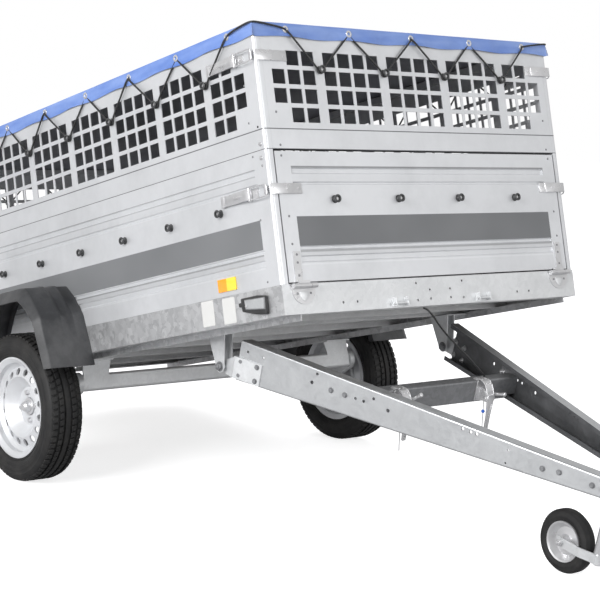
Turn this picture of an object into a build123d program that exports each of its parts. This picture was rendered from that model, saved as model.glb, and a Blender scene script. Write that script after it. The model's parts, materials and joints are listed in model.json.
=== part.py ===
from build123d import *
import os
from math import cos, radians, sin, tan

os.makedirs("parts", exist_ok=True)

# Driving sizes, in millimetres and degrees
# Load bed, measured in its own axes: x across, y rearwards from the front face, z up from the rails
bed_length = 2440
bed_width = 1325
frame_height = 93
frame_sheet = 3
rail_flange = 62
rail_lip = 20
beam_flange = 50
panel_height = 417
panel_thickness = 25
mesh_height = 395
floor_thickness = 12
seat_gap = 0.3
corner_gap = 5
corner_radius = 12
gate_top_gap = 6

# How the trailer stands: the bed nose up, the drawbar nose down
bed_tilt = 14.2
drawbar_droop = 11.5

# Axle and wheels
axle_y = 1390
wheel_drop = 159
half_track = 761
tyre_radius = 266
tyre_width = 145
tread_width = 116
rim_flange_radius = 182
rim_seat_radius = 166
beam_y = 1240
beam_drop = 100
beam_size = 60
arm_thickness = 22

# Mudguards
guard_width = 200
guard_wall = 4
guard_side_gap = 0.5
guard_chamfer_out = 28
guard_chamfer_down = 45
guard_flange = 26
guard_top = 254

# Tilt hinge and drawbar, in the drawbar's axes: forward from the pivot, up from the pivot
pivot_y = 525
pivot_drop = 114
pivot_radius = 8
bracket_width = 90
bracket_tip_radius = 20
bracket_sheet = 4
bracket_gap = 30
arm_start = 52
arm_length = 1580
arm_rear_half_width = 520
arm_angle = 16.5
arm_top = 109
arm_rear_depth = 143
arm_taper = 0.06
arm_sheet = 3
arm_flange = 42
arm_lip = 15
arm_bend = 6
crossbeam_forward = 493
crossbeam_height = 76
crossbeam_depth = 40
crossbeam_bottom = -1
hinge_plate = 5

# Jockey wheel
jockey_forward = 1240
jockey_x = 25
jockey_trail = 126
jockey_radius = 100
jockey_width = 48
outer_tube_radius = 24
inner_tube_radius = 17.5
tube_wall = 2.5
outer_tube_top = 420
outer_tube_bottom = 28
tube_below_axle = 22
leg_travel = 150

# Coupling, placed from the front end of the arms
coupling_lap = 140
coupling_nose = 220
coupling_width = 104
coupling_height = 40
coupling_wall = 5
socket_outer_radius = 42
socket_wall_low = 16
ball_radius = 25
ball_gap = 0.4
socket_depth = 34

# Mesh sections: groups of cells, with a wide rib at each tie knob
side_knobs = 8
front_knobs = 4
side_end_run = 261
front_end_run = 251.5
wide_rib = 37.5
cell_height = 46.5
thin_rib = 11.5
row_rib = 13.5
mesh_rows = 4
mesh_columns = 4
end_columns = 3
mesh_first_row = 84
mesh_sheet = 3
mesh_rail = 64
mesh_top_rail = 24
mesh_stile = 30

# Tarpaulin
tarp_thickness = 4
tarp_drop = 48
tarp_clearance = 1.5

# Tie knobs
knob_stem_radius = 6
knob_head_radius = 10
knob_stem = 9
knob_head = 7
panel_knob_height = 260
mesh_knob_height = 254

# Worked out from the driving sizes
half_width = bed_width / 2
panel_top = frame_height + panel_height
mesh_top = panel_top + mesh_height
tilt = radians(bed_tilt)
droop = radians(drawbar_droop)
coupling_rear = arm_length - coupling_lap
coupling_forward = arm_length + coupling_nose


def bed_world(y, z):
    """Place of a point of the bed, in a frame under the axle."""
    along = (y - axle_y) * cos(tilt) + (z + wheel_drop) * sin(tilt)
    height = -(y - axle_y) * sin(tilt) + (z + wheel_drop) * cos(tilt) + tyre_radius
    return along, height


pivot_along, pivot_height = bed_world(pivot_y, -pivot_drop)
rear_along = bed_world(bed_length + tarp_clearance + tarp_thickness, mesh_top + seat_gap + tarp_thickness)[0]
front_along = pivot_along - coupling_forward * cos(droop) - (arm_top + seat_gap + coupling_height) * sin(droop)
origin_along = (rear_along + front_along) / 2


class Axes:
    """Axes that lean with the piece: x across, y rearwards, z up."""

    def __init__(self, along, height, up):
        self.plane = Plane(origin=(0, along - origin_along, height), x_dir=(1, 0, 0), z_dir=up)

    def point(self, x, y, z):
        return self.plane.from_local_coords(Vector(x, y, z))

    def flat(self, z=0, x=0, y=0):
        """Sketch plane for outlines seen from above."""
        return Plane(origin=self.point(x, y, z), x_dir=self.plane.x_dir, z_dir=self.plane.z_dir)

    def front(self, y=0, x=0, z=0):
        """Sketch plane for outlines seen from the front; it extrudes forwards."""
        return Plane(origin=self.point(x, y, z), x_dir=self.plane.x_dir, z_dir=-self.plane.y_dir)

    def side(self, x=0, y=0, z=0):
        """Sketch plane for outlines of rearwards and up; it extrudes to the left."""
        return Plane(origin=self.point(x, y, z), x_dir=self.plane.y_dir, z_dir=self.plane.x_dir)


bed = Axes(*bed_world(0, 0), up=(0, sin(tilt), cos(tilt)))
bar = Axes(pivot_along, pivot_height, up=(0, -sin(droop), cos(droop)))

pieces = {}


def edges_at(axes, part, wanted):
    """Edges of a part whose middle, in the leaning axes, is wanted: x, y, z and way are given."""
    found = []
    for edge in part.edges():
        middle = axes.plane.to_local_coords(edge @ 0.5)
        way = axes.plane.to_local_coords(edge @ 1) - axes.plane.to_local_coords(edge @ 0)
        if wanted(middle, way):
            found.append(edge)
    return found


def is_near(value, target, reach=0.01):
    return abs(value - target) < reach


def is_corner(middle, way):
    """Upright outer corner of the bed's walls."""
    at_end = is_near(middle.Y, 0) or is_near(middle.Y, bed_length)
    upright = abs(way.Z) > 20 and abs(way.X) + abs(way.Y) < 0.01
    return is_near(abs(middle.X), half_width) and at_end and upright


def keep(name, part):
    """Label a finished piece and write it under its node name."""
    part.label = name
    pieces[name] = part
    export_step(part, f"parts/{name}.step")


def box_on(axes, x, y, z):
    """One box between two corners given as pairs, in the open builder."""
    with BuildSketch(axes.flat(z[0])) as outline:
        with Locations(((x[0] + x[1]) / 2, (y[0] + y[1]) / 2)):
            Rectangle(abs(x[1] - x[0]), abs(y[1] - y[0]))
    extrude(outline.sketch, amount=z[1] - z[0])


def post_on(axes, x, z, y, radius, mode=Mode.ADD):
    """One round bar along the bed between two y values, in the open builder."""
    with BuildSketch(axes.front(y[1], x, z)) as outline:
        Circle(radius)
    extrude(outline.sketch, amount=y[1] - y[0], mode=mode)


def pin_on(axes, x, y, z, radius, mode=Mode.ADD):
    """One round bar across the trailer between two x values, in the open builder."""
    with BuildSketch(axes.side(x[0], y, z)) as outline:
        Circle(radius)
    extrude(outline.sketch, amount=x[1] - x[0], mode=mode)


sides = {"right": -1, "left": 1}

# Side rails: web, bottom flange and down-turned lip
rail_front = frame_sheet + seat_gap
rail_length = bed_length - 2 * rail_front
for name, side in sides.items():
    outer = side * half_width
    inner = side * (half_width - frame_sheet)
    lip_outer = side * (half_width - rail_flange)
    lip_inner = side * (half_width - rail_flange - frame_sheet)
    with BuildPart() as rail:
        with BuildSketch(bed.front(rail_front)):
            with BuildLine():
                Polyline(
                    (outer, 0),
                    (outer, frame_height),
                    (inner, frame_height),
                    (inner, frame_sheet),
                    (lip_inner, frame_sheet),
                    (lip_inner, -rail_lip),
                    (lip_outer, -rail_lip),
                    (lip_outer, 0),
                    close=True,
                )
            make_face()
        extrude(amount=-rail_length)
    keep(f"side_rail_{name}", rail.part)

# Front and rear beams: face sheet and a bottom flange between the rail lips;
# the front one carries the two catches that the tilt latches hook on
beam_half_flange = half_width - rail_flange - frame_sheet - seat_gap
latch_x = 190
catch_half = 28
catch_sheet = 4
catch_reach = 20
catch_low = 5
catch_height = 28
catch_pin_radius = 5
# columns: x, z of the face holes, radius
face_holes = (
    (425, 28, 4),
    (366, 28, 4),
    (105, 76, 4),
    (105, 20, 4),
    (46, 52, 4),
    (46, 23, 4),
)
for name, face_y, inward in (("front_beam", 0, 1), ("rear_beam", bed_length, -1)):
    with BuildPart() as beam:
        near = face_y
        far = face_y + inward * frame_sheet
        box_on(bed, (-half_width, half_width), sorted((near, far)), (0, frame_height))
        reach = face_y + inward * beam_flange
        box_on(bed, (-beam_half_flange, beam_half_flange), sorted((near, reach)), (0, frame_sheet))
        with BuildSketch(bed.front(face_y)):
            for x, z, radius in face_holes:
                with Locations((-x, z), (x, z)):
                    Circle(radius)
        extrude(amount=frame_sheet, both=True, mode=Mode.SUBTRACT)
        if name == "front_beam":
            for side in (-1, 1):
                middle = side * latch_x
                for ear in (middle - catch_half, middle + catch_half - catch_sheet):
                    box_on(bed, (ear, ear + catch_sheet), (-catch_reach, 0), (catch_low, catch_low + catch_height))
                pin_span = (middle - catch_half - 8, middle + catch_half + 8)
                pin_on(bed, pin_span, -catch_reach + 7, catch_low + 9, catch_pin_radius)
    keep(name, beam.part)

# Cross members: channels that lie on the rail flanges and carry the floor
floor_bottom = frame_height - floor_thickness
member_half = half_width - frame_sheet - seat_gap
member_flange = 38
member_places = (330, pivot_y, 900, beam_y, bed_length - 800, bed_length - 380)
with BuildPart() as cross_members:
    for place in member_places:
        with BuildSketch(bed.side(-member_half)):
            with BuildLine():
                Polyline(
                    (place, frame_sheet),
                    (place, floor_bottom),
                    (place + member_flange, floor_bottom),
                    (place + member_flange, floor_bottom - frame_sheet),
                    (place + frame_sheet, floor_bottom - frame_sheet),
                    (place + frame_sheet, 2 * frame_sheet),
                    (place + member_flange, 2 * frame_sheet),
                    (place + member_flange, frame_sheet),
                    close=True,
                )
            make_face()
        extrude(amount=2 * member_half)
keep("cross_members", cross_members.part)

# Floor board, inside the frame and under the panels
with BuildPart() as floor:
    box_on(
        bed,
        (-member_half, member_half),
        (rail_front, bed_length - rail_front),
        (floor_bottom, frame_height),
    )
keep("floor", floor.part)

# Pressed profile of the lower panels: depth of the outer face below the wall's outside
# columns: height above the frame, depth
panel_profile = (
    (0, 0),
    (62, 0),
    (65, 4),
    (80, 4),
    (83, 0),
    (101, 0),
    (104, 5),
    (111, 5),
    (114, 0),
    (308, 0),
    (311, 3),
    (316, 3),
    (319, 0),
    (344, 0),
    (347, 5),
    (361, 5),
    (364, 0),
    (panel_height, 0),
)
end_cap = 66
gate_end_cap = 60


def profile_points(sign):
    """Outline of a panel's section: outside to the sign, from its bottom edge."""
    outside = [(sign * (panel_thickness - depth), height) for height, depth in panel_profile]
    return outside + [(0, panel_height), (0, 0)]


panel_foot = frame_height + seat_gap
for name, side in sides.items():
    inside_x = side * (half_width - panel_thickness)
    with BuildPart() as panel:
        with BuildSketch(bed.front(end_cap, inside_x, panel_foot)):
            with BuildLine():
                Polyline(*profile_points(side), close=True)
            make_face()
        extrude(amount=-(bed_length - 2 * end_cap))
        outside_x = side * half_width
        for start in (0, bed_length - end_cap):
            box_on(
                bed,
                sorted((inside_x, outside_x)),
                (start, start + end_cap),
                (panel_foot, panel_foot + panel_height),
            )
        fillet(edges_at(bed, panel.part, is_corner), corner_radius)
    keep(f"side_panel_{name}", panel.part)

# Gates: the same profile across, between the side panels
gate_half = half_width - panel_thickness - corner_gap
gate_foot = frame_height + corner_gap
hinge_drop = 7
hinge_out = 12
hinge_x = 582
leaf_offset = 12
hinge_half = 47
hinge_pin_radius = 5
knuckle_radius = 8
leaf_height = 95
leaf_sheet = 3
base_radius = 46
for name, face_y, outward in (("front_gate", 0, -1), ("tail_gate", bed_length, 1)):
    inner_y = face_y - outward * panel_thickness
    with BuildPart() as gate:
        gate_scale = (panel_height - corner_gap - gate_top_gap) / panel_height
        with BuildSketch(bed.side(-gate_half + gate_end_cap, inner_y, gate_foot)):
            with BuildLine():
                Polyline(
                    *[(y, z * gate_scale) for y, z in profile_points(outward)],
                    close=True,
                )
            make_face()
        extrude(amount=2 * (gate_half - gate_end_cap))
        for side in (-1, 1):
            box_on(
                bed,
                sorted((side * gate_half, side * (gate_half - gate_end_cap))),
                sorted((face_y, inner_y)),
                (gate_foot, panel_top - gate_top_gap),
            )
    keep(name, gate.part)

# Gate hinges: a leaf and knuckle on the gate, a round base and its two knuckles on the beam
hinge_z = frame_height - hinge_drop
leaf_half = 14
knuckle_half = 22
with BuildPart() as hinge_bases:
    for face_y, outward in ((0, -1), (bed_length, 1)):
        axis_y = face_y + outward * hinge_out
        for side in (-1, 1):
            centre = side * hinge_x
            with BuildSketch(bed.front(face_y)):
                with Locations((centre, hinge_z - 10)):
                    Circle(base_radius)
                with Locations((centre, hinge_z + base_radius)):
                    Rectangle(2 * base_radius, 2 * base_radius, mode=Mode.SUBTRACT)
            extrude(amount=-outward * leaf_sheet)
            for turn in (-1, 1):
                start = centre + turn * (knuckle_half + 1)
                stop = centre + turn * hinge_half
                with BuildSketch(bed.side(min(start, stop), axis_y, hinge_z)):
                    Circle(knuckle_radius)
                    with Locations((-outward * hinge_out / 2, -knuckle_radius / 2)):
                        Rectangle(hinge_out, knuckle_radius)
                extrude(amount=abs(stop - start))
            pin_on(bed, (centre - hinge_half, centre + hinge_half), axis_y, hinge_z, hinge_pin_radius)
keep("gate_hinge_bases", hinge_bases.part)

for name, face_y, outward in (("front_gate_leaves", 0, -1), ("tail_gate_leaves", bed_length, 1)):
    axis_y = face_y + outward * hinge_out
    with BuildPart() as leaves:
        for side in (-1, 1):
            centre = side * hinge_x
            strap = centre + side * leaf_offset
            face = sorted((face_y + outward * seat_gap, face_y + outward * (leaf_sheet + seat_gap)))
            box_on(bed, (strap - leaf_half, strap + leaf_half), face, (gate_foot, gate_foot + leaf_height))
            with BuildSketch(bed.side(centre - knuckle_half, axis_y, hinge_z)):
                Circle(knuckle_radius)
                with Locations((-outward * (hinge_out - leaf_sheet) / 2, knuckle_radius)):
                    Rectangle(hinge_out - leaf_sheet, 2 * knuckle_radius)
                Circle(hinge_pin_radius + seat_gap, mode=Mode.SUBTRACT)
            extrude(amount=2 * knuckle_half)
    keep(name, leaves.part)

# Mesh sections: punched sheet with a bottom rail, a top rail and end stiles
row_pitch = cell_height + row_rib
side_pitch = (bed_length - 2 * side_end_run) / (side_knobs - 1)
front_pitch = (bed_width - 2 * front_end_run) / (front_knobs - 1)


def cell_width_at(pitch):
    """Width of a cell where the tie knobs have this pitch."""
    return (pitch - wide_rib - (mesh_columns - 1) * thin_rib) / mesh_columns


def cell_centres(pitch, knobs):
    """Cell places along one section, with the ends of the outermost groups marked."""
    cell_width = cell_width_at(pitch)
    column_pitch = cell_width + thin_rib
    first_rib = -(knobs - 1) * pitch / 2
    places = []
    for group in range(knobs - 1):
        start = first_rib + group * pitch + wide_rib / 2 + cell_width / 2
        places += [(start + column * column_pitch, False) for column in range(mesh_columns)]
    for column in range(end_columns):
        offset = -first_rib + wide_rib / 2 + cell_width / 2 + column * column_pitch
        outermost = column == end_columns - 1
        places += [(offset, outermost), (-offset, outermost)]
    return places


knob_rows = {
    "front": [(i - (front_knobs - 1) / 2) * front_pitch for i in range(front_knobs)],
    "side": [(i - (side_knobs - 1) / 2) * side_pitch for i in range(side_knobs)],
}
mesh_foot = panel_top + 2 * seat_gap
mesh_ceiling = mesh_foot + mesh_height - seat_gap
mid_y = bed_length / 2


def cell_rows():
    """Heights of the cell centres above the section's foot."""
    return [mesh_first_row + cell_height / 2 + row * row_pitch for row in range(mesh_rows)]


for name, side in sides.items():
    with BuildPart() as mesh:
        outer = side * half_width
        inner = side * (half_width - panel_thickness)
        sheet_in = side * (half_width - mesh_sheet)
        with BuildSketch(bed.front(0, 0, mesh_foot)):
            with BuildLine():
                Polyline(
                    (outer, 0),
                    (outer, mesh_height),
                    (inner, mesh_height),
                    (inner, mesh_height - mesh_top_rail),
                    (sheet_in, mesh_height - mesh_top_rail),
                    (sheet_in, mesh_rail),
                    (inner, mesh_rail),
                    (inner, 0),
                    close=True,
                )
            make_face()
        extrude(amount=-bed_length)
        for start in (0, bed_length - mesh_stile):
            box_on(bed, sorted((outer, inner)), (start, start + mesh_stile), (mesh_foot, mesh_ceiling))
        with BuildSketch(bed.side(sheet_in, mid_y, mesh_foot)):
            for along, outermost in cell_centres(side_pitch, side_knobs):
                rows = cell_rows()[1:-1] if outermost else cell_rows()
                with Locations(*[(along, row) for row in rows]):
                    Rectangle(cell_width_at(side_pitch), cell_height)
        extrude(amount=2 * mesh_sheet, both=True, mode=Mode.SUBTRACT)
        fillet(edges_at(bed, mesh.part, is_corner), corner_radius)
    keep(f"mesh_{name}", mesh.part)

mesh_half = half_width - panel_thickness - seat_gap
for name, face_y, outward in (("mesh_front", 0, -1), ("mesh_rear", bed_length, 1)):
    with BuildPart() as mesh:
        inner_y = face_y - outward * panel_thickness
        sheet_in = face_y - outward * mesh_sheet
        with BuildSketch(bed.side(-mesh_half, 0, mesh_foot)):
            with BuildLine():
                Polyline(
                    (face_y, 0),
                    (face_y, mesh_height),
                    (inner_y, mesh_height),
                    (inner_y, mesh_height - mesh_top_rail),
                    (sheet_in, mesh_height - mesh_top_rail),
                    (sheet_in, mesh_rail),
                    (inner_y, mesh_rail),
                    (inner_y, 0),
                    close=True,
                )
            make_face()
        extrude(amount=2 * mesh_half)
        for side in (-1, 1):
            box_on(
                bed,
                sorted((side * mesh_half, side * (mesh_half - mesh_stile))),
                sorted((face_y, inner_y)),
                (mesh_foot, mesh_ceiling),
            )
        with BuildSketch(bed.front(sheet_in, 0, mesh_foot)):
            for along, outermost in cell_centres(front_pitch, front_knobs):
                rows = cell_rows()[1:-1] if outermost else cell_rows()
                with Locations(*[(along, row) for row in rows]):
                    Rectangle(cell_width_at(front_pitch), cell_height)
        extrude(amount=2 * mesh_sheet, both=True, mode=Mode.SUBTRACT)
    keep(name, mesh.part)

# Flat tarpaulin: a sheet over the mesh with a skirt all round
tarp_base = mesh_foot + mesh_height + seat_gap
with BuildPart() as tarp:
    reach = tarp_clearance + tarp_thickness
    box_on(
        bed,
        (-half_width - reach, half_width + reach),
        (-reach, bed_length + reach),
        (tarp_base + tarp_thickness - tarp_drop, tarp_base + tarp_thickness),
    )
    with BuildSketch(bed.flat(tarp_base + tarp_thickness - tarp_drop, 0, mid_y)):
        Rectangle(bed_width + 2 * tarp_clearance, bed_length + 2 * tarp_clearance)
    extrude(amount=tarp_drop - tarp_thickness, mode=Mode.SUBTRACT)
keep("tarpaulin", tarp.part)


# Tie knobs
def knob_on(plane):
    """One knob that stands out of a plane: a stem and a wider head."""
    with BuildSketch(plane) as stem:
        Circle(knob_stem_radius)
    extrude(stem.sketch, amount=knob_stem + knob_head)
    with BuildSketch(plane.offset(knob_stem)) as head:
        Circle(knob_head_radius)
    extrude(head.sketch, amount=knob_head)


def outward_plane(face, along, height):
    """Plane on an outer wall, its normal outwards."""
    if face in sides:
        side = sides[face]
        spot = bed.point(side * (half_width + seat_gap), mid_y + along, height)
        return Plane(origin=spot, x_dir=bed.plane.y_dir, z_dir=side * bed.plane.x_dir)
    outward = -1 if face == "front" else 1
    wall_y = -seat_gap if face == "front" else bed_length + seat_gap
    spot = bed.point(along, wall_y, height)
    return Plane(origin=spot, x_dir=bed.plane.x_dir, z_dir=outward * bed.plane.y_dir)


panel_knob_z = frame_height + panel_knob_height
mesh_knob_z = panel_top + mesh_knob_height
with BuildPart() as knobs:
    for face in ("right", "left"):
        for along in knob_rows["side"]:
            knob_on(outward_plane(face, along, panel_knob_z))
            knob_on(outward_plane(face, along, mesh_knob_z))
    for face in ("front", "rear"):
        for along in knob_rows["front"]:
            knob_on(outward_plane(face, along, mesh_knob_z))
keep("tie_knobs", knobs.part)

for name, face in (("front_gate_knobs", "front"), ("tail_gate_knobs", "rear")):
    with BuildPart() as gate_knobs:
        for along in knob_rows["front"]:
            knob_on(outward_plane(face, along, panel_knob_z))
    keep(name, gate_knobs.part)

# Corner clasps: base plate and over-centre lever on each side wall, two heights
clasp_length = 215
clasp_height = 34
clasp_plate = 3
clasp_lever = 10
clasp_lever_length = 170
clasp_start = 14
clasp_heights = (385, 803)
with BuildPart() as clasps:
    for face, side in sides.items():
        for end, inward in ((0, 1), (bed_length, -1)):
            for height in clasp_heights:
                near = end + inward * clasp_start
                far = near + inward * clasp_length
                plate = sorted((side * (half_width + seat_gap), side * (half_width + clasp_plate)))
                box_on(
                    bed,
                    plate,
                    sorted((near, far)),
                    (height - clasp_height / 2, height + clasp_height / 2),
                )
                lever_far = near + inward * clasp_lever_length
                lever = sorted((side * (half_width + clasp_plate), side * (half_width + clasp_lever)))
                box_on(
                    bed,
                    lever,
                    sorted((near, lever_far)),
                    (height - clasp_height / 4, height + clasp_height / 4),
                )
keep("corner_clasps", clasps.part)

# Mudguards
# columns: distance ahead of the axle, height above the rails, on the flat top's edge
guard_outline = (
    (311, -45),
    (270, 140),
    (224, 207),
    (175, guard_top),
)
# columns: the same at the outer rim, past the chamfer
guard_rim_outline = (
    (295, -45),
    (250, 125),
    (203, 178),
    (164, guard_top - guard_chamfer_down),
)


def arch_points(outline, inset=0):
    """Arch outline from front foot to rear foot, moved inwards by a wall."""
    front = []
    for ahead, height in outline:
        foot = height == outline[0][1]
        front.append((axle_y - ahead + inset, height if foot else height - inset))
    rear = [(2 * axle_y - y, z) for y, z in reversed(front)]
    return front + rear


def arch_face(points):
    """Closed face of an arch outline, in the open sketch."""
    with BuildLine() as outline:
        Polyline(*points, close=True)
    make_face(outline.edges())


for name, side in sides.items():
    start_x = half_width + guard_side_gap
    shoulder_x = start_x + guard_width - guard_chamfer_out
    outer_x = start_x + guard_width

    def at(x):
        return bed.side(side * x)

    with BuildPart() as guard:
        with BuildSketch(at(start_x)):
            arch_face(arch_points(guard_outline))
        extrude(amount=side * (shoulder_x - start_x))
        with BuildSketch(at(shoulder_x)):
            arch_face(arch_points(guard_outline))
        with BuildSketch(at(outer_x)):
            arch_face(arch_points(guard_rim_outline))
        loft(ruled=True)
        with BuildSketch(at(start_x)):
            arch_face(arch_points(guard_outline, guard_flange))
        extrude(amount=side * guard_wall, mode=Mode.SUBTRACT)
        with BuildSketch(at(start_x + guard_wall)):
            arch_face(arch_points(guard_outline, guard_wall))
        extrude(amount=side * (shoulder_x - start_x - guard_wall), mode=Mode.SUBTRACT)
        with BuildSketch(at(shoulder_x)):
            arch_face(arch_points(guard_outline, guard_wall))
        with BuildSketch(at(outer_x)):
            arch_face(arch_points(guard_rim_outline, guard_wall))
        loft(ruled=True, mode=Mode.SUBTRACT)
        with BuildSketch(at(start_x)):
            with Locations((axle_y, guard_outline[0][1])):
                Rectangle(2 * guard_outline[0][0] - 2 * guard_flange, 2 * guard_wall)
        extrude(amount=side * guard_width, mode=Mode.SUBTRACT)
    keep(f"mudguard_{name}", guard.part)

# Axle beam with its two brackets under the rail lips
bracket_top = -rail_lip - seat_gap
bracket_plate = 6
bracket_outer = 632
bracket_inner_top = 512
bracket_inner_bottom = 530
axle_half = 636
with BuildPart() as axle_beam:
    with BuildSketch(bed.side(-axle_half, beam_y, -beam_drop)):
        RectangleRounded(beam_size, beam_size, 10)
    extrude(amount=2 * axle_half)
    for side in (-1, 1):
        box_on(
            bed,
            sorted((side * bracket_inner_top, side * bracket_outer)),
            (beam_y - 50, beam_y + 50),
            (bracket_top - bracket_plate, bracket_top),
        )
        with BuildSketch(bed.front(beam_y - beam_size / 2 + bracket_plate)):
            with BuildLine():
                Polyline(
                    (side * bracket_inner_top, bracket_top - bracket_plate),
                    (side * bracket_outer, bracket_top - bracket_plate),
                    (side * bracket_outer, -beam_drop),
                    (side * bracket_inner_bottom, -beam_drop),
                    close=True,
                )
            make_face()
        extrude(amount=bracket_plate)
keep("axle_beam", axle_beam.part)

# Trailing arms with the stub axles
stub_radius = 17
arm_root_radius = 40
arm_eye_radius = 32
stub_end = half_track + 12
with BuildPart() as axle_arms:
    for side in (-1, 1):
        arm_in = axle_half + seat_gap
        with BuildSketch(bed.side(side * arm_in)):
            with Locations((beam_y, -beam_drop)):
                Circle(arm_root_radius)
            with Locations((axle_y, -wheel_drop)):
                Circle(arm_eye_radius)
            make_hull()
        extrude(amount=side * arm_thickness)
        stub = sorted((side * (arm_in + arm_thickness - 2), side * stub_end))
        pin_on(bed, stub, axle_y, -wheel_drop, stub_radius)
keep("axle_arms", axle_arms.part)

# Wheels: tyre, dished rim with vent holes, hub with its cap
hub_gap = 0.3
disc_face = -2
disc_back = -8
vent_count = 16
vent_radius = 13
vent_circle = 128
bolt_circle = 50
rim_half = 62
tyre_side = tyre_width / 2
tread_half = tread_width / 2

for name, side in sides.items():
    centre = bed.point(side * half_track, axle_y, -wheel_drop)
    # sketch x is the radius, sketch y runs outwards along the axle
    section = Plane(origin=centre, x_dir=bed.plane.z_dir, z_dir=bed.plane.y_dir * side)
    axle_line = Axis(centre, section.y_dir)
    with BuildPart() as tyre:
        with BuildSketch(section):
            with BuildLine():
                Polyline(
                    (rim_seat_radius + seat_gap, -rim_half + 8.4),
                    (rim_flange_radius + seat_gap, -rim_half + 4.4),
                    (rim_flange_radius + 3, -rim_half),
                    (rim_flange_radius + 26, -tyre_side),
                    (tyre_radius - 28, -tyre_side + 2),
                    (tyre_radius - 10, -tread_half - 6),
                    (tyre_radius - 1, -tread_half + 6),
                    (tyre_radius, 0),
                    (tyre_radius - 1, tread_half - 6),
                    (tyre_radius - 10, tread_half + 6),
                    (tyre_radius - 28, tyre_side - 2),
                    (rim_flange_radius + 26, tyre_side),
                    (rim_flange_radius + 3, rim_half),
                    (rim_flange_radius + seat_gap, rim_half - 4.4),
                    (rim_seat_radius + seat_gap, rim_half - 8.4),
                    close=True,
                )
            make_face()
        revolve(axis=axle_line)
    keep(f"tyre_{name}", tyre.part)

    with BuildPart() as rim:
        with BuildSketch(section):
            with BuildLine():
                Polyline(
                    (rim_flange_radius, -rim_half),
                    (rim_flange_radius, -rim_half + 4),
                    (rim_seat_radius, -rim_half + 8),
                    (rim_seat_radius - 2, -20),
                    (rim_seat_radius - 22, -8),
                    (rim_seat_radius - 22, 14),
                    (rim_seat_radius - 2, 30),
                    (rim_seat_radius, rim_half - 8),
                    (rim_flange_radius, rim_half - 4),
                    (rim_flange_radius, rim_half),
                    (rim_flange_radius - 6, rim_half),
                    (rim_seat_radius - 5, rim_half - 10),
                    (rim_seat_radius - 6, 34),
                    (rim_seat_radius - 20, 24),
                    (110, 38),
                    (92, 20),
                    (70, disc_face),
                    (33, disc_face),
                    (33, disc_back),
                    (74, disc_back),
                    (96, 14),
                    (112, 31),
                    (rim_seat_radius - 26, 18),
                    (rim_seat_radius - 26, -10),
                    (rim_seat_radius - 6, -24),
                    (rim_seat_radius - 5, -rim_half + 4),
                    (rim_flange_radius - 6, -rim_half),
                    close=True,
                )
            make_face()
        revolve(axis=axle_line)
        with BuildSketch(Plane(origin=centre, x_dir=bed.plane.y_dir, z_dir=section.y_dir)):
            with PolarLocations(vent_circle, vent_count):
                Circle(vent_radius)
        extrude(amount=60, mode=Mode.SUBTRACT)
    keep(f"rim_{name}", rim.part)

    with BuildPart() as hub:
        with BuildSketch(section):
            with BuildLine():
                Polyline(
                    (stub_radius + hub_gap, -70),
                    (stub_radius + hub_gap, 14),
                    (0, 14),
                    (0, 30),
                    (13, 29),
                    (19, 22),
                    (21, 6),
                    (31, 5),
                    (31, disc_back - seat_gap),
                    (66, disc_back - seat_gap),
                    (66, -24),
                    (40, -30),
                    (36, -70),
                    close=True,
                )
            make_face()
        revolve(axis=axle_line)
        bolt_seat = Plane(origin=centre, x_dir=bed.plane.y_dir, z_dir=section.y_dir).offset(disc_face + seat_gap)
        with BuildSketch(bolt_seat):
            with PolarLocations(bolt_circle, 4):
                RegularPolygon(9, 6)
        extrude(amount=12)
    keep(f"hub_{name}", hub.part)

# Front marker lamps in their rubber housings, on the rails' front ends
lamp_from = 80
lamp_to = 208
with BuildPart() as marker_lamps:
    for side in (-1, 1):
        base = side * (half_width + seat_gap)
        with BuildSketch(bed.side(base)):
            with Locations(((lamp_from + lamp_to) / 2, 50)):
                RectangleRounded(lamp_to - lamp_from, 72, 12)
        extrude(amount=side * 24)
        with BuildSketch(bed.side(base + side * 24)):
            with Locations(((lamp_from + lamp_to) / 2, 52)):
                RectangleRounded(92, 50, 6)
        extrude(amount=side * 8)
keep("front_marker_lamps", marker_lamps.part)

# Amber side markers
with BuildPart() as side_markers:
    for side in (-1, 1):
        for along in (272, bed_length - 272):
            with BuildSketch(bed.side(side * (half_width + seat_gap))):
                with Locations((along, 125)):
                    RectangleRounded(92, 48, 4)
            extrude(amount=side * 12)
keep("side_markers", side_markers.part)

# Rear lamp clusters on the rear beam
rear_lamp_x = 380
with BuildPart() as rear_lamps:
    for side in (-1, 1):
        with BuildSketch(bed.front(bed_length + seat_gap)):
            with Locations((side * rear_lamp_x, 40)):
                RectangleRounded(226, 74, 8)
        extrude(amount=-38)
keep("rear_lamps", rear_lamps.part)

# Tilt brackets: a clevis of two tapered cheeks under each rail
arm_half_at_pivot = arm_rear_half_width
ear_x = arm_half_at_pivot - 3
cheek_outer = ear_x + bracket_gap / 2 + bracket_sheet
cheek_inner = ear_x - bracket_gap / 2 - bracket_sheet
bracket_tip = -pivot_drop


def cheek_face():
    """Tapered cheek, round at the pivot, in the open sketch."""
    with BuildLine() as outline:
        Polyline(
            (pivot_y - bracket_width / 2, -bracket_sheet),
            (pivot_y + bracket_width / 2, -bracket_sheet),
            (pivot_y + bracket_tip_radius, bracket_tip),
            (pivot_y - bracket_tip_radius, bracket_tip),
            close=True,
        )
    make_face(outline.edges())
    with Locations((pivot_y, bracket_tip)):
        Circle(bracket_tip_radius)


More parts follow.
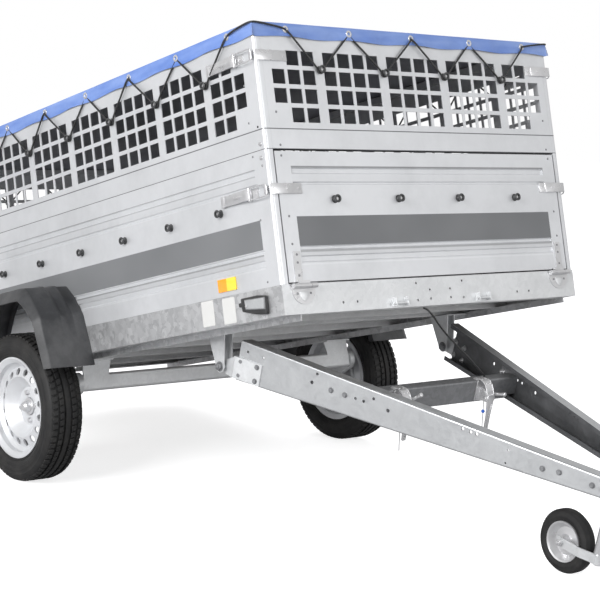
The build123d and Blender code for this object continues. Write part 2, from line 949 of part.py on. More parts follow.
for name, side in sides.items():
    with BuildPart() as bracket:
        for start in (cheek_inner, cheek_outer - bracket_sheet):
            with BuildSketch(bed.side(side * start)):
                cheek_face()
            extrude(amount=side * bracket_sheet)
        box_on(
            bed,
            sorted((side * cheek_inner, side * (half_width - rail_flange - frame_sheet - seat_gap))),
            (pivot_y - bracket_width / 2, pivot_y + bracket_width / 2),
            (-bracket_sheet, -seat_gap),
        )
        pin = sorted((side * (cheek_inner - 8), side * (cheek_outer + 8)))
        pin_on(bed, pin, pivot_y, bracket_tip, pivot_radius)
    keep(f"tilt_bracket_{name}", bracket.part)


# Drawbar arms: lipped channels that taper forwards and close in
def arm_outer(forward):
    """Half width over the arms' webs at a distance ahead of the pivot."""
    return arm_rear_half_width - forward * tan(radians(arm_angle))


def arm_bottom(forward):
    """Height of the arm's lower edge over the pivot."""
    return arm_top - arm_rear_depth + arm_taper * forward


def arm_section(forward, side):
    """Lipped channel section across the drawbar."""
    web = arm_outer(forward)
    low = arm_bottom(forward)
    edge = web - arm_flange
    points = (
        (web, low),
        (web, arm_top),
        (edge, arm_top),
        (edge, arm_top - arm_lip),
        (edge + arm_sheet, arm_top - arm_lip),
        (edge + arm_sheet, arm_top - arm_sheet),
        (web - arm_sheet, arm_top - arm_sheet),
        (web - arm_sheet, low + arm_sheet),
        (edge + arm_sheet, low + arm_sheet),
        (edge + arm_sheet, low + arm_lip),
        (edge, low + arm_lip),
        (edge, low),
    )
    with BuildSketch(bar.front(-forward)) as section:
        with BuildLine():
            Polyline(*[(side * x, z) for x, z in points], close=True)
        make_face()
    return section.sketch


# columns: distance ahead of the pivot, height over it, radius
arm_holes = (
    (82, 78, 4),
    (142, 77, 4),
    (345, 92, 5),
    (331, 59, 6),
    (492, 61, 5),
    (521, 62, 5),
    (553, 82, 5),
    (608, 62, 6),
    (859, 95, 5),
    (886, 94, 5),
    (906, 95, 5),
    (1012, 82, 3),
    (1012, 41, 3),
)
for name, side in sides.items():
    with BuildPart() as arm:
        loft([arm_section(arm_start, side), arm_section(arm_length, side)], ruled=True)
        with BuildSketch(bar.side(0)):
            for forward, height, radius in arm_holes:
                with Locations((-forward, height)):
                    Circle(radius)
        extrude(amount=side * bed_width, mode=Mode.SUBTRACT)

        def is_bend(middle, way):
            outer = is_near(abs(middle.X), arm_outer(-middle.Y), 0.5)
            return outer and abs(way.Y) > arm_length / 2

        fillet(edges_at(bar, arm.part, is_bend), arm_bend)
    keep(f"drawbar_arm_{name}", arm.part)

# Hinge plates: bolted along the arm's web, with an ear on the pivot
plate_front = 146
plate_top = 52
plate_low = -22
with BuildPart() as hinge_plates:
    for side in (-1, 1):
        with BuildSketch(bar.side(side * (ear_x - hinge_plate / 2))):
            Circle(bracket_tip_radius)
            with BuildLine():
                Polyline((0, bracket_tip_radius), (0, -bracket_tip_radius), (-48, plate_low), (-48, plate_top), close=True)
            make_face()
            Circle(pivot_radius + seat_gap, mode=Mode.SUBTRACT)
        extrude(amount=side * hinge_plate)
        outer_rear = arm_outer(44) + seat_gap
        outer_front = arm_outer(plate_front) + seat_gap
        with BuildSketch(bar.flat(plate_low)):
            with BuildLine():
                Polyline(
                    (side * outer_rear, -44),
                    (side * outer_front, -plate_front),
                    (side * (outer_front + hinge_plate), -plate_front),
                    (side * (ear_x + hinge_plate / 2), -44),
                    close=True,
                )
            make_face()
        extrude(amount=plate_top - plate_low)
keep("hinge_plates", hinge_plates.part)

# Crossbeam: a channel between the arms, notched over their bottom lips, with bolting tabs
tab_length = 105
tab_low = 30
beam_end = arm_outer(crossbeam_forward) - arm_sheet - 1
notch_x = arm_outer(crossbeam_forward) - arm_flange - 4
crossbeam_top = crossbeam_bottom + crossbeam_height
notch_top = arm_bottom(crossbeam_forward) + arm_lip + 2
with BuildPart() as crossbeam:
    with BuildSketch(bar.front(-crossbeam_forward)):
        with BuildLine():
            Polyline(
                (-beam_end, notch_top),
                (-beam_end, crossbeam_top),
                (beam_end, crossbeam_top),
                (beam_end, notch_top),
                (notch_x, notch_top),
                (notch_x, crossbeam_bottom),
                (-notch_x, crossbeam_bottom),
                (-notch_x, notch_top),
                close=True,
            )
        make_face()
    extrude(amount=-arm_sheet)
    box_on(
        bar,
        (-beam_end, beam_end),
        (-crossbeam_forward, -crossbeam_forward + crossbeam_depth),
        (crossbeam_top - arm_sheet, crossbeam_top),
    )
    box_on(
        bar,
        (-notch_x, notch_x),
        (-crossbeam_forward, -crossbeam_forward + crossbeam_depth),
        (crossbeam_bottom, crossbeam_bottom + arm_sheet),
    )
    tab_rear = crossbeam_forward - tab_length
    for side in (-1, 1):
        with BuildSketch(bar.flat(tab_low)):
            with BuildLine():
                Polyline(
                    (side * beam_end, -crossbeam_forward),
                    (side * (arm_outer(tab_rear) - arm_sheet - 1), -tab_rear),
                    (side * (arm_outer(tab_rear) - arm_sheet - 4), -tab_rear),
                    (side * (beam_end - 3), -crossbeam_forward),
                    close=True,
                )
            make_face()
        extrude(amount=crossbeam_top - tab_low)

    def is_beam_bend(middle, way):
        top_or_bottom = is_near(middle.Z, crossbeam_top) or is_near(middle.Z, crossbeam_bottom)
        return is_near(middle.Y, -crossbeam_forward) and top_or_bottom and abs(way.X) > 100

    fillet(edges_at(bar, crossbeam.part, is_beam_bend), arm_bend)
keep("drawbar_crossbeam", crossbeam.part)

# Tilt latches: base over the crossbeam's edge, arched strap, hanging lever, swinging hook bolt
latch_plate = 5
latch_half = 22
latch_wrap = 20
strap_half = 17
latch_pivot_out = 46
latch_pivot_z = 30
lever_low = -80
lever_sheet = 8
hook_length = 82
hook_radius = 5
# columns: outer edge of the arched strap, ahead of the beam's face and over its top
strap_arch = (
    (-latch_wrap, latch_plate + seat_gap),
    (12, latch_plate + 4),
    (30, latch_plate),
    (44, -8),
    (52, -26),
    (54, crossbeam_bottom - crossbeam_top + 34),
)
# columns: side of the trailer, rise of the hook bolt in degrees
latch_table = ((-1, 40), (1, 18))
with BuildPart() as latches:
    face = -crossbeam_forward - seat_gap
    for side, hook_rise in latch_table:
        middle = side * latch_x
        wide = (middle - latch_half, middle + latch_half)
        lid = crossbeam_top + seat_gap
        box_on(bar, wide, (face - latch_plate, face), (6, lid + latch_plate))
        box_on(bar, wide, (face - latch_plate, face + latch_wrap), (lid, lid + latch_plate))
        with BuildSketch(bar.side(middle - strap_half)):
            with BuildLine():
                outer_edge = [(face - out, crossbeam_top + up) for out, up in strap_arch]
                inner_edge = [(y + 3.5, z - 3) for y, z in reversed(outer_edge[1:])]
                Polyline(*outer_edge, *inner_edge, (face + latch_wrap, lid), close=True)
            make_face()
        extrude(amount=2 * strap_half)
        with BuildSketch(bar.side(middle - 11)):
            with BuildLine():
                Polyline(
                    (face - latch_plate + 1, 10),
                    (face - latch_plate + 1, 52),
                    (face - latch_pivot_out, latch_pivot_z + 12),
                    (face - latch_pivot_out, latch_pivot_z - 12),
                    close=True,
                )
            make_face()
        extrude(amount=22)
        pin_on(bar, (middle - 19, middle + 19), face - latch_pivot_out, latch_pivot_z, 12)
        with BuildSketch(bar.front(face - latch_pivot_out - 4)):
            with BuildLine():
                Polyline(
                    (middle - 14, latch_pivot_z + 14),
                    (middle + 14, latch_pivot_z + 14),
                    (middle + 11, -22),
                    (middle + 12, lever_low),
                    (middle - 1, lever_low),
                    (middle - 7, -22),
                    close=True,
                )
            make_face()
        extrude(amount=lever_sheet)
        hook_root = bar.point(middle + 26, face - latch_plate - 8, latch_pivot_z + 2)
        rise = radians(hook_rise)
        hook_way = sin(rise) * bar.plane.z_dir - cos(rise) * bar.plane.y_dir
        with BuildSketch(Plane(origin=hook_root, x_dir=bar.plane.x_dir, z_dir=hook_way)):
            Circle(hook_radius)
        extrude(amount=hook_length)
        pin_on(bar, (middle + 15, middle + 33), face - latch_plate - 8, latch_pivot_z + 2, 9)
        box_on(
            bar,
            (middle + 15, middle + 33),
            (face - latch_plate - 8, face - latch_plate + 1),
            (latch_pivot_z - 6, latch_pivot_z + 10),
        )
keep("tilt_latches", latches.part)

# Coupling head: a pressed shell on the arms' top flanges, with the ball socket at its front
socket_forward = coupling_forward - socket_outer_radius
head_low = arm_top + seat_gap
head_top = head_low + coupling_height
socket_low = head_low - socket_wall_low
with BuildPart() as coupling:
    with BuildSketch(bar.flat(head_low)):
        with BuildLine():
            Polyline(
                (-coupling_width / 2, -coupling_rear),
                (-coupling_width / 2, -arm_length),
                (-socket_outer_radius, -socket_forward),
                (socket_outer_radius, -socket_forward),
                (coupling_width / 2, -arm_length),
                (coupling_width / 2, -coupling_rear),
                close=True,
            )
        make_face()
    extrude(amount=coupling_height)
    with BuildSketch(bar.flat(socket_low)):
        with Locations((0, -socket_forward)):
            Circle(socket_outer_radius)
    extrude(amount=socket_wall_low + coupling_height)
    with BuildSketch(bar.flat(head_low)):
        with Locations((0, -(coupling_rear + arm_length) / 2 - 10)):
            Rectangle(coupling_width - 2 * coupling_wall, arm_length - coupling_rear - 20)
    extrude(amount=coupling_height - coupling_wall, mode=Mode.SUBTRACT)
    with BuildSketch(bar.flat(socket_low)):
        with Locations((0, -socket_forward)):
            Circle(ball_radius + ball_gap)
    extrude(amount=socket_depth, mode=Mode.SUBTRACT)
keep("coupling_head", coupling.part)

# Coupling lever on top of the head
with BuildPart() as coupling_lever:
    with BuildSketch(bar.side(-14)):
        with BuildLine():
            Polyline(
                (-socket_forward + 10, head_top + seat_gap),
                (-socket_forward + 30, head_top + 34),
                (-socket_forward + 170, head_top + 42),
                (-socket_forward + 170, head_top + 32),
                (-socket_forward + 50, head_top + 22),
                (-socket_forward + 40, head_top + seat_gap),
                close=True,
            )
        make_face()
    extrude(amount=28)
keep("coupling_lever", coupling_lever.part)

# Jockey bracket: a cross plate between the arms' webs
bracket_forward = jockey_forward + outer_tube_radius + 14
with BuildPart() as jockey_bracket:
    plate_half = arm_outer(bracket_forward + 6) - arm_sheet - 1
    lip_half = arm_outer(bracket_forward + 6) - arm_flange - 4
    low = arm_bottom(bracket_forward)
    with BuildSketch(bar.front(-bracket_forward)):
        with Locations((0, (low + arm_lip + arm_top - arm_lip) / 2)):
            Rectangle(2 * plate_half, arm_top - low - 2 * arm_lip - 4)
        with Locations((0, (low + arm_top) / 2)):
            Rectangle(2 * lip_half, arm_top - low - 4)
    extrude(amount=6)
keep("jockey_bracket", jockey_bracket.part)

# Jockey clamp and outer tube
with BuildPart() as jockey_tube:
    with BuildSketch(bar.flat(outer_tube_bottom)):
        with Locations((jockey_x, -jockey_forward)):
            Circle(outer_tube_radius)
            Circle(inner_tube_radius + 0.6, mode=Mode.SUBTRACT)
    extrude(amount=outer_tube_top - outer_tube_bottom)
    with BuildSketch(bar.flat(50)):
        with Locations((jockey_x, -jockey_forward)):
            Circle(outer_tube_radius + 8)
        with Locations((jockey_x, -jockey_forward - (outer_tube_radius + 14) / 2)):
            Rectangle(46, outer_tube_radius + 14 - 2 * seat_gap)
        with Locations((jockey_x, -jockey_forward)):
            Circle(inner_tube_radius + 0.6, mode=Mode.SUBTRACT)
    extrude(amount=50)
    with BuildSketch(bar.flat(outer_tube_top)):
        with Locations((jockey_x, -jockey_forward)):
            Circle(outer_tube_radius + 2)
    extrude(amount=8)
    with BuildSketch(bar.flat(outer_tube_top + 8)):
        with Locations((jockey_x, -jockey_forward)):
            Circle(7)
    extrude(amount=22)
    with BuildSketch(bar.flat(outer_tube_top + 30)):
        with Locations((jockey_x, -jockey_forward + 50)):
            RectangleRounded(18, 130, 8)
    extrude(amount=8)
    with BuildSketch(bar.flat(outer_tube_top + 38)):
        with Locations((jockey_x, -jockey_forward + 104)):
            Circle(9)
    extrude(amount=70)
keep("jockey_tube", jockey_tube.part)

# Sliding leg, from inside the outer tube to just below the wheel's axle
axle_forward = jockey_forward - jockey_trail
jockey_axle_z = (jockey_radius - pivot_height + axle_forward * sin(droop)) / cos(droop)
leg_low = jockey_axle_z - tube_below_axle
leg_high = outer_tube_top - leg_travel
with BuildPart() as jockey_leg:
    with BuildSketch(bar.flat(leg_low)):
        with Locations((jockey_x, -jockey_forward)):
            Circle(inner_tube_radius)
    extrude(amount=leg_high - leg_low)
    fillet(edges_at(bar, jockey_leg.part, lambda middle, way: is_near(middle.Z, leg_low)), inner_tube_radius / 2)
keep("jockey_leg", jockey_leg.part)

# Swivel fork: a strap round the leg's foot with an arm each side of the wheel
fork_sheet = 5
fork_height = 30
fork_in = jockey_width / 2 + 4
collar_in = inner_tube_radius + 0.5
fork_low = jockey_axle_z - fork_height / 2
with BuildPart() as fork:
    with BuildSketch(bar.flat(fork_low, jockey_x, -jockey_forward)):
        with BuildLine():
            Polyline(
                (-collar_in - fork_sheet, -6),
                (-collar_in - fork_sheet, 16),
                (-fork_in - fork_sheet, 52),
                (-fork_in - fork_sheet, jockey_trail + 16),
                (-fork_in, jockey_trail + 16),
                (-fork_in, 51),
                (-collar_in, 14),
                (-collar_in, -6),
                close=True,
            )
        make_face()
        mirror(about=Plane.YZ)
        Circle(collar_in + fork_sheet)
        Circle(collar_in, mode=Mode.SUBTRACT)
        with BuildLine():
            Polyline(
                (-collar_in + 1, 12),
                (collar_in - 1, 12),
                (collar_in - 1, 24),
                (-collar_in + 1, 24),
                close=True,
            )
        make_face(mode=Mode.SUBTRACT)
    extrude(amount=fork_height)
    for side in (-1, 1):
        cap_x = sorted((jockey_x + side * (fork_in + fork_sheet - 1), jockey_x + side * (fork_in + fork_sheet + 7)))
        pin_on(bar, cap_x, -axle_forward, jockey_axle_z, 9)
    pin_on(bar, (jockey_x - fork_in - 1, jockey_x + fork_in + 1), -axle_forward, jockey_axle_z, 6)
keep("jockey_fork", fork.part)

# Jockey wheel: solid tyre on a pressed rim
jockey_centre = bar.point(jockey_x, -axle_forward, jockey_axle_z)
jockey_section = Plane(origin=jockey_centre, x_dir=bar.plane.z_dir, z_dir=-bar.plane.y_dir)
jockey_axis = Axis(jockey_centre, jockey_section.y_dir)
tyre_half = jockey_width / 2
jockey_rim_radius = 64
with BuildPart() as jockey_tyre:
    with BuildSketch(jockey_section):
        with BuildLine():
            Polyline(
                (jockey_rim_radius, -tyre_half + 4),
                (jockey_radius - 22, -tyre_half),
                (jockey_radius - 8, -tyre_half + 3),
                (jockey_radius, -tyre_half + 14),
                (jockey_radius, tyre_half - 14),
                (jockey_radius - 8, tyre_half - 3),
                (jockey_radius - 22, tyre_half),
                (jockey_rim_radius, tyre_half - 4),
                close=True,
            )
        make_face()
    revolve(axis=jockey_axis)
keep("jockey_tyre", jockey_tyre.part)

with BuildPart() as jockey_rim:
    with BuildSketch(jockey_section):
        with BuildLine():
            Polyline(
                (6.3, -tyre_half - 2),
                (18, -tyre_half - 2),
                (22, -8),
                (44, -4),
                (58, -tyre_half + 2),
                (jockey_rim_radius - seat_gap, -tyre_half),
                (jockey_rim_radius - seat_gap, tyre_half),
                (58, tyre_half - 2),
                (44, 4),
                (22, 8),
                (18, tyre_half + 2),
                (6.3, tyre_half + 2),
                close=True,
            )
        make_face()
    revolve(axis=jockey_axis)
keep("jockey_rim", jockey_rim.part)

world_pivot = bar.point(0, 0, 0)
front_hinge = bed.point(0, -hinge_out, hinge_z)
rear_hinge = bed.point(0, bed_length + hinge_out, hinge_z)
socket = bar.point(0, -socket_forward, socket_low + 10)
floor_centre = bed.point(0, mid_y, frame_height)
print("floor centre", floor_centre)
print("tilt pivot", world_pivot)
print("front gate hinge", front_hinge)
print("tail gate hinge", rear_hinge)
print("wheel centre", bed.point(half_track, axle_y, -wheel_drop))
print("jockey tube", bar.point(jockey_x, -jockey_forward, leg_low), "axis", bar.plane.z_dir)
print("jockey wheel", jockey_centre)
print("ball socket", socket)
print("bed origin", bed.point(0, 0, 0))
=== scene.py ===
import json
from math import cos, pi, radians, sin, tan

import bpy
from bpy.props import FloatProperty, FloatVectorProperty, IntProperty, PointerProperty
from mathutils import Matrix, Vector


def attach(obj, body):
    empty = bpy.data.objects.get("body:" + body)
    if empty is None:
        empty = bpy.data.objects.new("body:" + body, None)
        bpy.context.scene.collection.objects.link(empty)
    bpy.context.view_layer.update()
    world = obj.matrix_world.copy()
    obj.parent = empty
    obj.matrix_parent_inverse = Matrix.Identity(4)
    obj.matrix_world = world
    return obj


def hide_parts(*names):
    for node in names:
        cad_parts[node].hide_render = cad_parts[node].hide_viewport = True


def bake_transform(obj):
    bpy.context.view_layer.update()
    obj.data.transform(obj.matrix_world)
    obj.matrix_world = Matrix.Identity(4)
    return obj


bl_info = {
    "name": "Utility trailer",
    "version": (1, 0),
    "blender": (4, 5, 0),
    "location": "View3D > Sidebar > Trailer",
    "description": "Box trailer with mesh sides, flat cover and a hinged drawbar",
    "category": "Object",
}

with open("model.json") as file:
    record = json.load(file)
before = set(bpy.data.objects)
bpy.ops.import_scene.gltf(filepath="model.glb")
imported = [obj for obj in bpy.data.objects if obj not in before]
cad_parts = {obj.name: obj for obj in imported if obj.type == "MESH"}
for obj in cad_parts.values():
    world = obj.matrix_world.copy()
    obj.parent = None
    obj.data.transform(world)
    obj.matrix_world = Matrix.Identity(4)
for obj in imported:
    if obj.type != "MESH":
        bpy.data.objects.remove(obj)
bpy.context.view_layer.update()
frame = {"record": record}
joints = {joint["name"]: joint for joint in frame["record"]["behaviour"]["joints"]}

# Sizes shared with the CAD model, in metres and radians
BED_TILT = radians(14.2)
DRAWBAR_DROOP = radians(11.5)
BED_LENGTH = 2.440
HALF_WIDTH = 0.6625
MESH_TOP = 0.9056
RAIL = 0.036  # width of the mesh rails that the cover lies flat on
AXLE_Y = 1.390
KNOB_PITCH = 0.274
PANEL_KNOB_Z = 0.353
MESH_KNOB_Z = 0.764
ARM_HALF = 0.520  # from the middle to an arm's outer face, at the pivot
ARM_ANGLE = radians(16.5)
PIVOT = Vector(joints["drawbar_tilt"]["pos_m"])
BED_FROM_PIVOT = Matrix.Translation((0, -0.525, 0.114))

# Places of the leaning bed and of the drawbar, and of what rides on them
BED = Matrix.Translation(PIVOT) @ Matrix.Rotation(-BED_TILT, 4, "X") @ BED_FROM_PIVOT
BAR = Matrix.Translation(PIVOT) @ Matrix.Rotation(DRAWBAR_DROOP, 4, "X")
BODY_PLACE = {"drawbar": BAR, "jockey_fork_body": BAR}  # every other body: BED
SIDES = (("right", -1), ("left", 1))
GATES = (("front_gate", "front"), ("tail_gate", "rear"))
FACE_TURN = {"right": pi, "left": 0, "front": -pi / 2, "rear": pi / 2}
UPSIDE = Matrix.Rotation(pi, 4, "X")
UP = Matrix.Rotation(-pi / 2, 4, "Y")
INWARDS = Matrix.Rotation(pi, 4, "Z")

# Sizes of this file's own pieces, in metres
OFF = 0.0003  # keeps a piece's foot off the sheet under it
WELD = 0.00002  # points nearer than this become one
TYRE_RADIUS = 0.266
EYELET_Z = MESH_TOP - 0.0195
EYELET_END_X = 0.537  # last eyelet of an end wall, from the middle
EYELET_END_Y = 0.123  # last eyelet of a side wall, from the bed's end
CABLE_RADIUS = 0.0032

# The photograph's camera, in metres, degrees and millimetres, and the stage
CAMERA_PLACE = (-3.82179, -4.44545, 1.41658)
CAMERA_TURN = (82.99174, -2.42045, -39.88466)
CAMERA_SENSOR = 36
CAMERA_LENS = 99.2427
STAGE_SIZE = 60
STAGE_AIM = Vector((0, 0, 0.6))
FLOOR_GLOW = 0.74  # light of its own that the camera sees on the floor
SKY_LIGHT = 0.40  # strength of the sky as a light; the camera sees 1
SKY_GLOSS = 0.55  # share of the way from that to 1 in reflections


# Making pieces


def clear():
    """Object mode with nothing selected."""
    if bpy.context.object and bpy.context.object.mode != "OBJECT":
        bpy.ops.object.mode_set(mode="OBJECT")
    bpy.ops.object.select_all(action="DESELECT")


def pick(*pieces):
    """Select only these pieces; the first is the active one."""
    clear()
    for piece in pieces:
        piece.select_set(True)
    bpy.context.view_layer.objects.active = pieces[0]
    return pieces[0]


def edit(piece):
    """Open a piece for editing with all of it selected."""
    pick(piece)
    bpy.ops.object.mode_set(mode="EDIT")
    bpy.ops.mesh.select_all(action="SELECT")


def done():
    """Back to object mode."""
    bpy.ops.object.mode_set(mode="OBJECT")


def outwards(piece, weld=False):
    """Turn a piece's faces outwards, after its doubled points are merged."""
    edit(piece)
    if weld:
        bpy.ops.mesh.remove_doubles(threshold=WELD)
    bpy.ops.mesh.normals_make_consistent(inside=False)
    done()


def set_down(piece):
    """Put a piece's place, turn and scale in its mesh."""
    pick(piece)
    bpy.ops.object.transform_apply(location=True, rotation=True, scale=True)
    return piece


def moved(piece, matrix):
    """Move a piece by a matrix and keep the place in its mesh."""
    piece.matrix_world = matrix @ piece.matrix_world
    bpy.context.view_layer.update()
    return set_down(piece)


def soften(piece, width, segments=2, angle=40):
    """Round a piece's sharp edges."""
    pick(piece)
    rounding = piece.modifiers.new("Rounding", "BEVEL")
    rounding.width = width
    rounding.segments = segments
    rounding.limit_method = "ANGLE"
    rounding.angle_limit = radians(angle)
    bpy.ops.object.modifier_apply(modifier=rounding.name)
    return piece


def smooth(piece, angle=35):
    """Shade a piece smooth, but for its edges past this angle."""
    pick(piece)
    bpy.ops.object.shade_smooth_by_angle(angle=radians(angle))
    return piece


def block(name, low, high, rounding=0.0, segments=2):
    """Rounded block between two corners."""
    clear()
    low, high = Vector(low), Vector(high)
    bpy.ops.mesh.primitive_cube_add(size=1, location=(low + high) / 2)
    piece = bpy.context.object
    piece.name = name
    piece.scale = high - low
    set_down(piece)
    if rounding:
        soften(piece, rounding, segments)
        smooth(piece)
    return piece


def drum(name, centre, radius, depth, axis, count, rounding=0.0, segments=2):
    """Round bar, washer or bolt head along X or Z, with rounded rims."""
    clear()
    turn = {"X": (0, pi / 2, 0), "Z": (0, 0, 0)}[axis]
    bpy.ops.mesh.primitive_cylinder_add(
        vertices=count, radius=radius, depth=depth, location=centre, rotation=turn
    )
    piece = bpy.context.object
    piece.name = name
    set_down(piece)
    if rounding:
        soften(piece, rounding, segments, 50)
    return smooth(piece)


def outline(name, points, push, rounding=0.0, segments=2):
    """Flat outline of any shape, filled and pushed out to a plate."""
    clear()
    bpy.ops.mesh.primitive_circle_add(vertices=len(points), fill_type="NGON")
    piece = bpy.context.object
    piece.name = name
    for vertex, point in zip(piece.data.vertices, points):
        vertex.co = point
    edit(piece)
    bpy.ops.mesh.extrude_region_move(TRANSFORM_OT_translate={"value": push})
    done()
    outwards(piece)
    if rounding:
        soften(piece, rounding, segments)
    return smooth(piece)


def turned(name, section, axis, steps):
    """Section of (radius, along) points spun about X or Y."""
    clear()
    bpy.ops.mesh.primitive_circle_add(vertices=len(section), fill_type="NOTHING")
    piece = bpy.context.object
    piece.name = name
    for vertex, (radius, along) in zip(piece.data.vertices, section):
        vertex.co = (along, 0, radius)
    edit(piece)
    bpy.ops.mesh.spin(steps=steps, angle=2 * pi, center=(0, 0, 0), axis=(1, 0, 0))
    bpy.ops.mesh.select_all(action="SELECT")
    bpy.ops.mesh.remove_doubles(threshold=WELD)
    bpy.ops.mesh.dissolve_degenerate(threshold=WELD / 2)
    done()
    outwards(piece)
    if axis == "Y":
        moved(piece, Matrix.Rotation(pi / 2, 4, "Z"))
    return smooth(piece)


def wire(name, points, radius, sides, resolution):
    """Smooth round wire or cord through a list of points."""
    line = bpy.data.curves.new(name, "CURVE")
    line.dimensions = "3D"
    line.bevel_depth = radius
    line.bevel_resolution = sides
    line.resolution_u = resolution
    line.use_fill_caps = True
    spline = line.splines.new("NURBS")
    spline.points.add(len(points) - 1)
    for knot, point in zip(spline.points, points):
        knot.co = (*point, 1)
    spline.order_u = 3
    spline.use_endpoint_u = True
    piece = bpy.data.objects.new(name, line)
    bpy.context.collection.objects.link(piece)
    pick(piece)
    bpy.ops.object.convert(target="MESH")
    piece = bpy.context.object
    return smooth(piece, 60)


def joined(name, pieces):
    """Make one piece of several."""
    pick(*pieces)
    if len(pieces) > 1:
        bpy.ops.object.join()
    piece = bpy.context.object
    piece.name = name
    piece.data.name = name
    return piece


def copies(name, pattern, places):
    """Copies of a finished pattern, each with its own mesh, joined in one piece."""
    made = []
    for place in places:
        twin = pattern.copy()
        twin.data = pattern.data.copy()
        bpy.context.collection.objects.link(twin)
        twin.matrix_world = place
        made.append(twin)
    bpy.data.objects.remove(pattern, do_unlink=True)
    bpy.context.view_layer.update()
    piece = joined(name, made)
    return set_down(piece)


def at(x, y, z):
    return Matrix.Translation((x, y, z))


def on_face(face, along, height, out=0.0):
    """Place on an outer wall of the bed, its X axis outwards."""
    spot = {
        "right": (-HALF_WIDTH - out, along, height),
        "left": (HALF_WIDTH + out, along, height),
        "front": (along, -out, height),
        "rear": (along, BED_LENGTH + out, height),
    }[face]
    return at(*spot) @ Matrix.Rotation(FACE_TURN[face], 4, "Z")


def on_arm(side, forward, height, out=0.0):
    """Place on a drawbar arm's outer face, its X axis outwards."""
    spot = (side * (ARM_HALF - forward * tan(ARM_ANGLE)), -forward, height)
    turn = -ARM_ANGLE if side > 0 else pi + ARM_ANGLE
    return at(*spot) @ Matrix.Rotation(turn, 4, "Z") @ at(out, 0, 0)


def rivet(radius):
    """Domed rivet head that stands out along X."""
    section = [(0.0, 0.0), (radius, 0.0), (radius, 0.0006), (radius * 0.72, 0.0017), (0.0, 0.0023)]
    return turned("rivet", section, "X", steps=12)


def bolt(radius, height, shank=0.0):
    """Hexagon head on a washer, out along X, with an end of thread where it is a nut."""
    washer = 0.0016
    top = washer + height
    made = [
        drum("washer", (washer / 2, 0, 0), radius * 1.32, washer, "X", 20, 0.0003, 1),
        drum("head", (washer + height / 2, 0, 0), radius, height, "X", 6, 0.0007, 1),
    ]
    if shank:
        middle = (top + shank / 2, 0, 0)
        made.append(drum("thread", middle, radius * 0.55, shank, "X", 14, 0.0008, 1))
    return joined("bolt", made)


def fit(piece, body, finish, where=None):
    """Finish a piece, put it in its body's place and let it ride on the body."""
    moved(piece, BODY_PLACE.get(body, BED) if where is None else where)
    piece.data.materials.clear()
    piece.data.materials.append(FINISHES[finish])
    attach(piece, body)
    return piece


# Finishes


def effect(name, colour_labels, float_labels):
    """Empty shader node group with named inputs, and a colour, roughness and height out."""
    group = bpy.data.node_groups.new(name, "ShaderNodeTree")
    for way, kind, labels in (
        ("INPUT", "NodeSocketColor", colour_labels),
        ("INPUT", "NodeSocketFloat", float_labels),
        ("OUTPUT", "NodeSocketColor", ("Colour",)),
        ("OUTPUT", "NodeSocketFloat", ("Roughness", "Height")),
    ):
        for label in labels:
            group.interface.new_socket(label, in_out=way, socket_type=kind)
    start = group.nodes.new("NodeGroupInput")
    end = group.nodes.new("NodeGroupOutput")
    return group, start, end


def node(tree, kind, values=(), **settings):
    """New shader node with its settings and the values of its sockets."""
    made = tree.nodes.new(kind)
    for key, value in settings.items():
        setattr(made, key, value)
    for socket, value in dict(values).items():
        made.inputs[socket].default_value = value
    return made


def feed(tree, sockets, values):
    """Give each socket its value, or a link where the value is a socket itself."""
    for socket, value in zip(sockets, values):
        if isinstance(value, bpy.types.NodeSocket):
            tree.links.new(value, socket)
        else:
            socket.default_value = value


def mixed(tree, factor, first, second, blend="MIX"):
    """Colour mix; each argument is a socket or a plain value."""
    mix = node(tree, "ShaderNodeMix", data_type="RGBA", blend_type=blend)
    feed(tree, (mix.inputs[0], mix.inputs[6], mix.inputs[7]), (factor, first, second))
    return mix.outputs[2]


def sums(tree, operation, first, second=0.0, clamp=False):
    """Sum of two values; each is a socket or a plain value."""
    maths = node(tree, "ShaderNodeMath", operation=operation, use_clamp=clamp)
    feed(tree, maths.inputs, (first, second))
    return maths.outputs[0]


def times(tree, first, second):
    return sums(tree, "MULTIPLY", first, second)


def ranged(tree, value, low, high, new_low=0.0, new_high=1.0):
    """Value mapped from one range to another and held inside it."""
    step = node(tree, "ShaderNodeMapRange", {1: low, 2: high, 3: new_low, 4: new_high})
    tree.links.new(value, step.inputs[0])
    return step.outputs[0]


def noise(tree, vector, scale, detail=4.0, rough=0.6):
    """Cloudy value at a place."""
    cloud = node(tree, "ShaderNodeTexNoise", {"Scale": scale, "Detail": detail, "Roughness": rough})
    tree.links.new(vector, cloud.inputs["Vector"])
    return cloud.outputs[0]


def make_grime():
    """Cloudy dirt and fine grain over any colour."""
    floats = ("Amount", "Cloud Scale", "Grain Scale", "Roughness", "Roughness Change")
    group, start, end = effect("Grime and grain", ("Colour", "Dirt"), floats)
    place = node(group, "ShaderNodeTexCoord").outputs["Object"]
    cloud = node(group, "ShaderNodeTexNoise", {"Detail": 5.0, "Roughness": 0.65})
    grain = node(group, "ShaderNodeTexNoise", {"Detail": 2.0, "Roughness": 0.5})
    group.links.new(place, cloud.inputs["Vector"])
    group.links.new(place, grain.inputs["Vector"])
    group.links.new(start.outputs["Cloud Scale"], cloud.inputs["Scale"])
    group.links.new(start.outputs["Grain Scale"], grain.inputs["Scale"])
    patches = ranged(group, cloud.outputs[0], 0.42, 0.68)
    weight = times(group, patches, start.outputs["Amount"])
    colour = mixed(group, weight, start.outputs["Colour"], start.outputs["Dirt"])
    swing = sums(group, "SUBTRACT", cloud.outputs[0], 0.5)
    change = times(group, swing, start.outputs["Roughness Change"])
    rough = sums(group, "ADD", start.outputs["Roughness"], change)
    feed(group, end.inputs, (colour, rough, grain.outputs[0]))
    return group


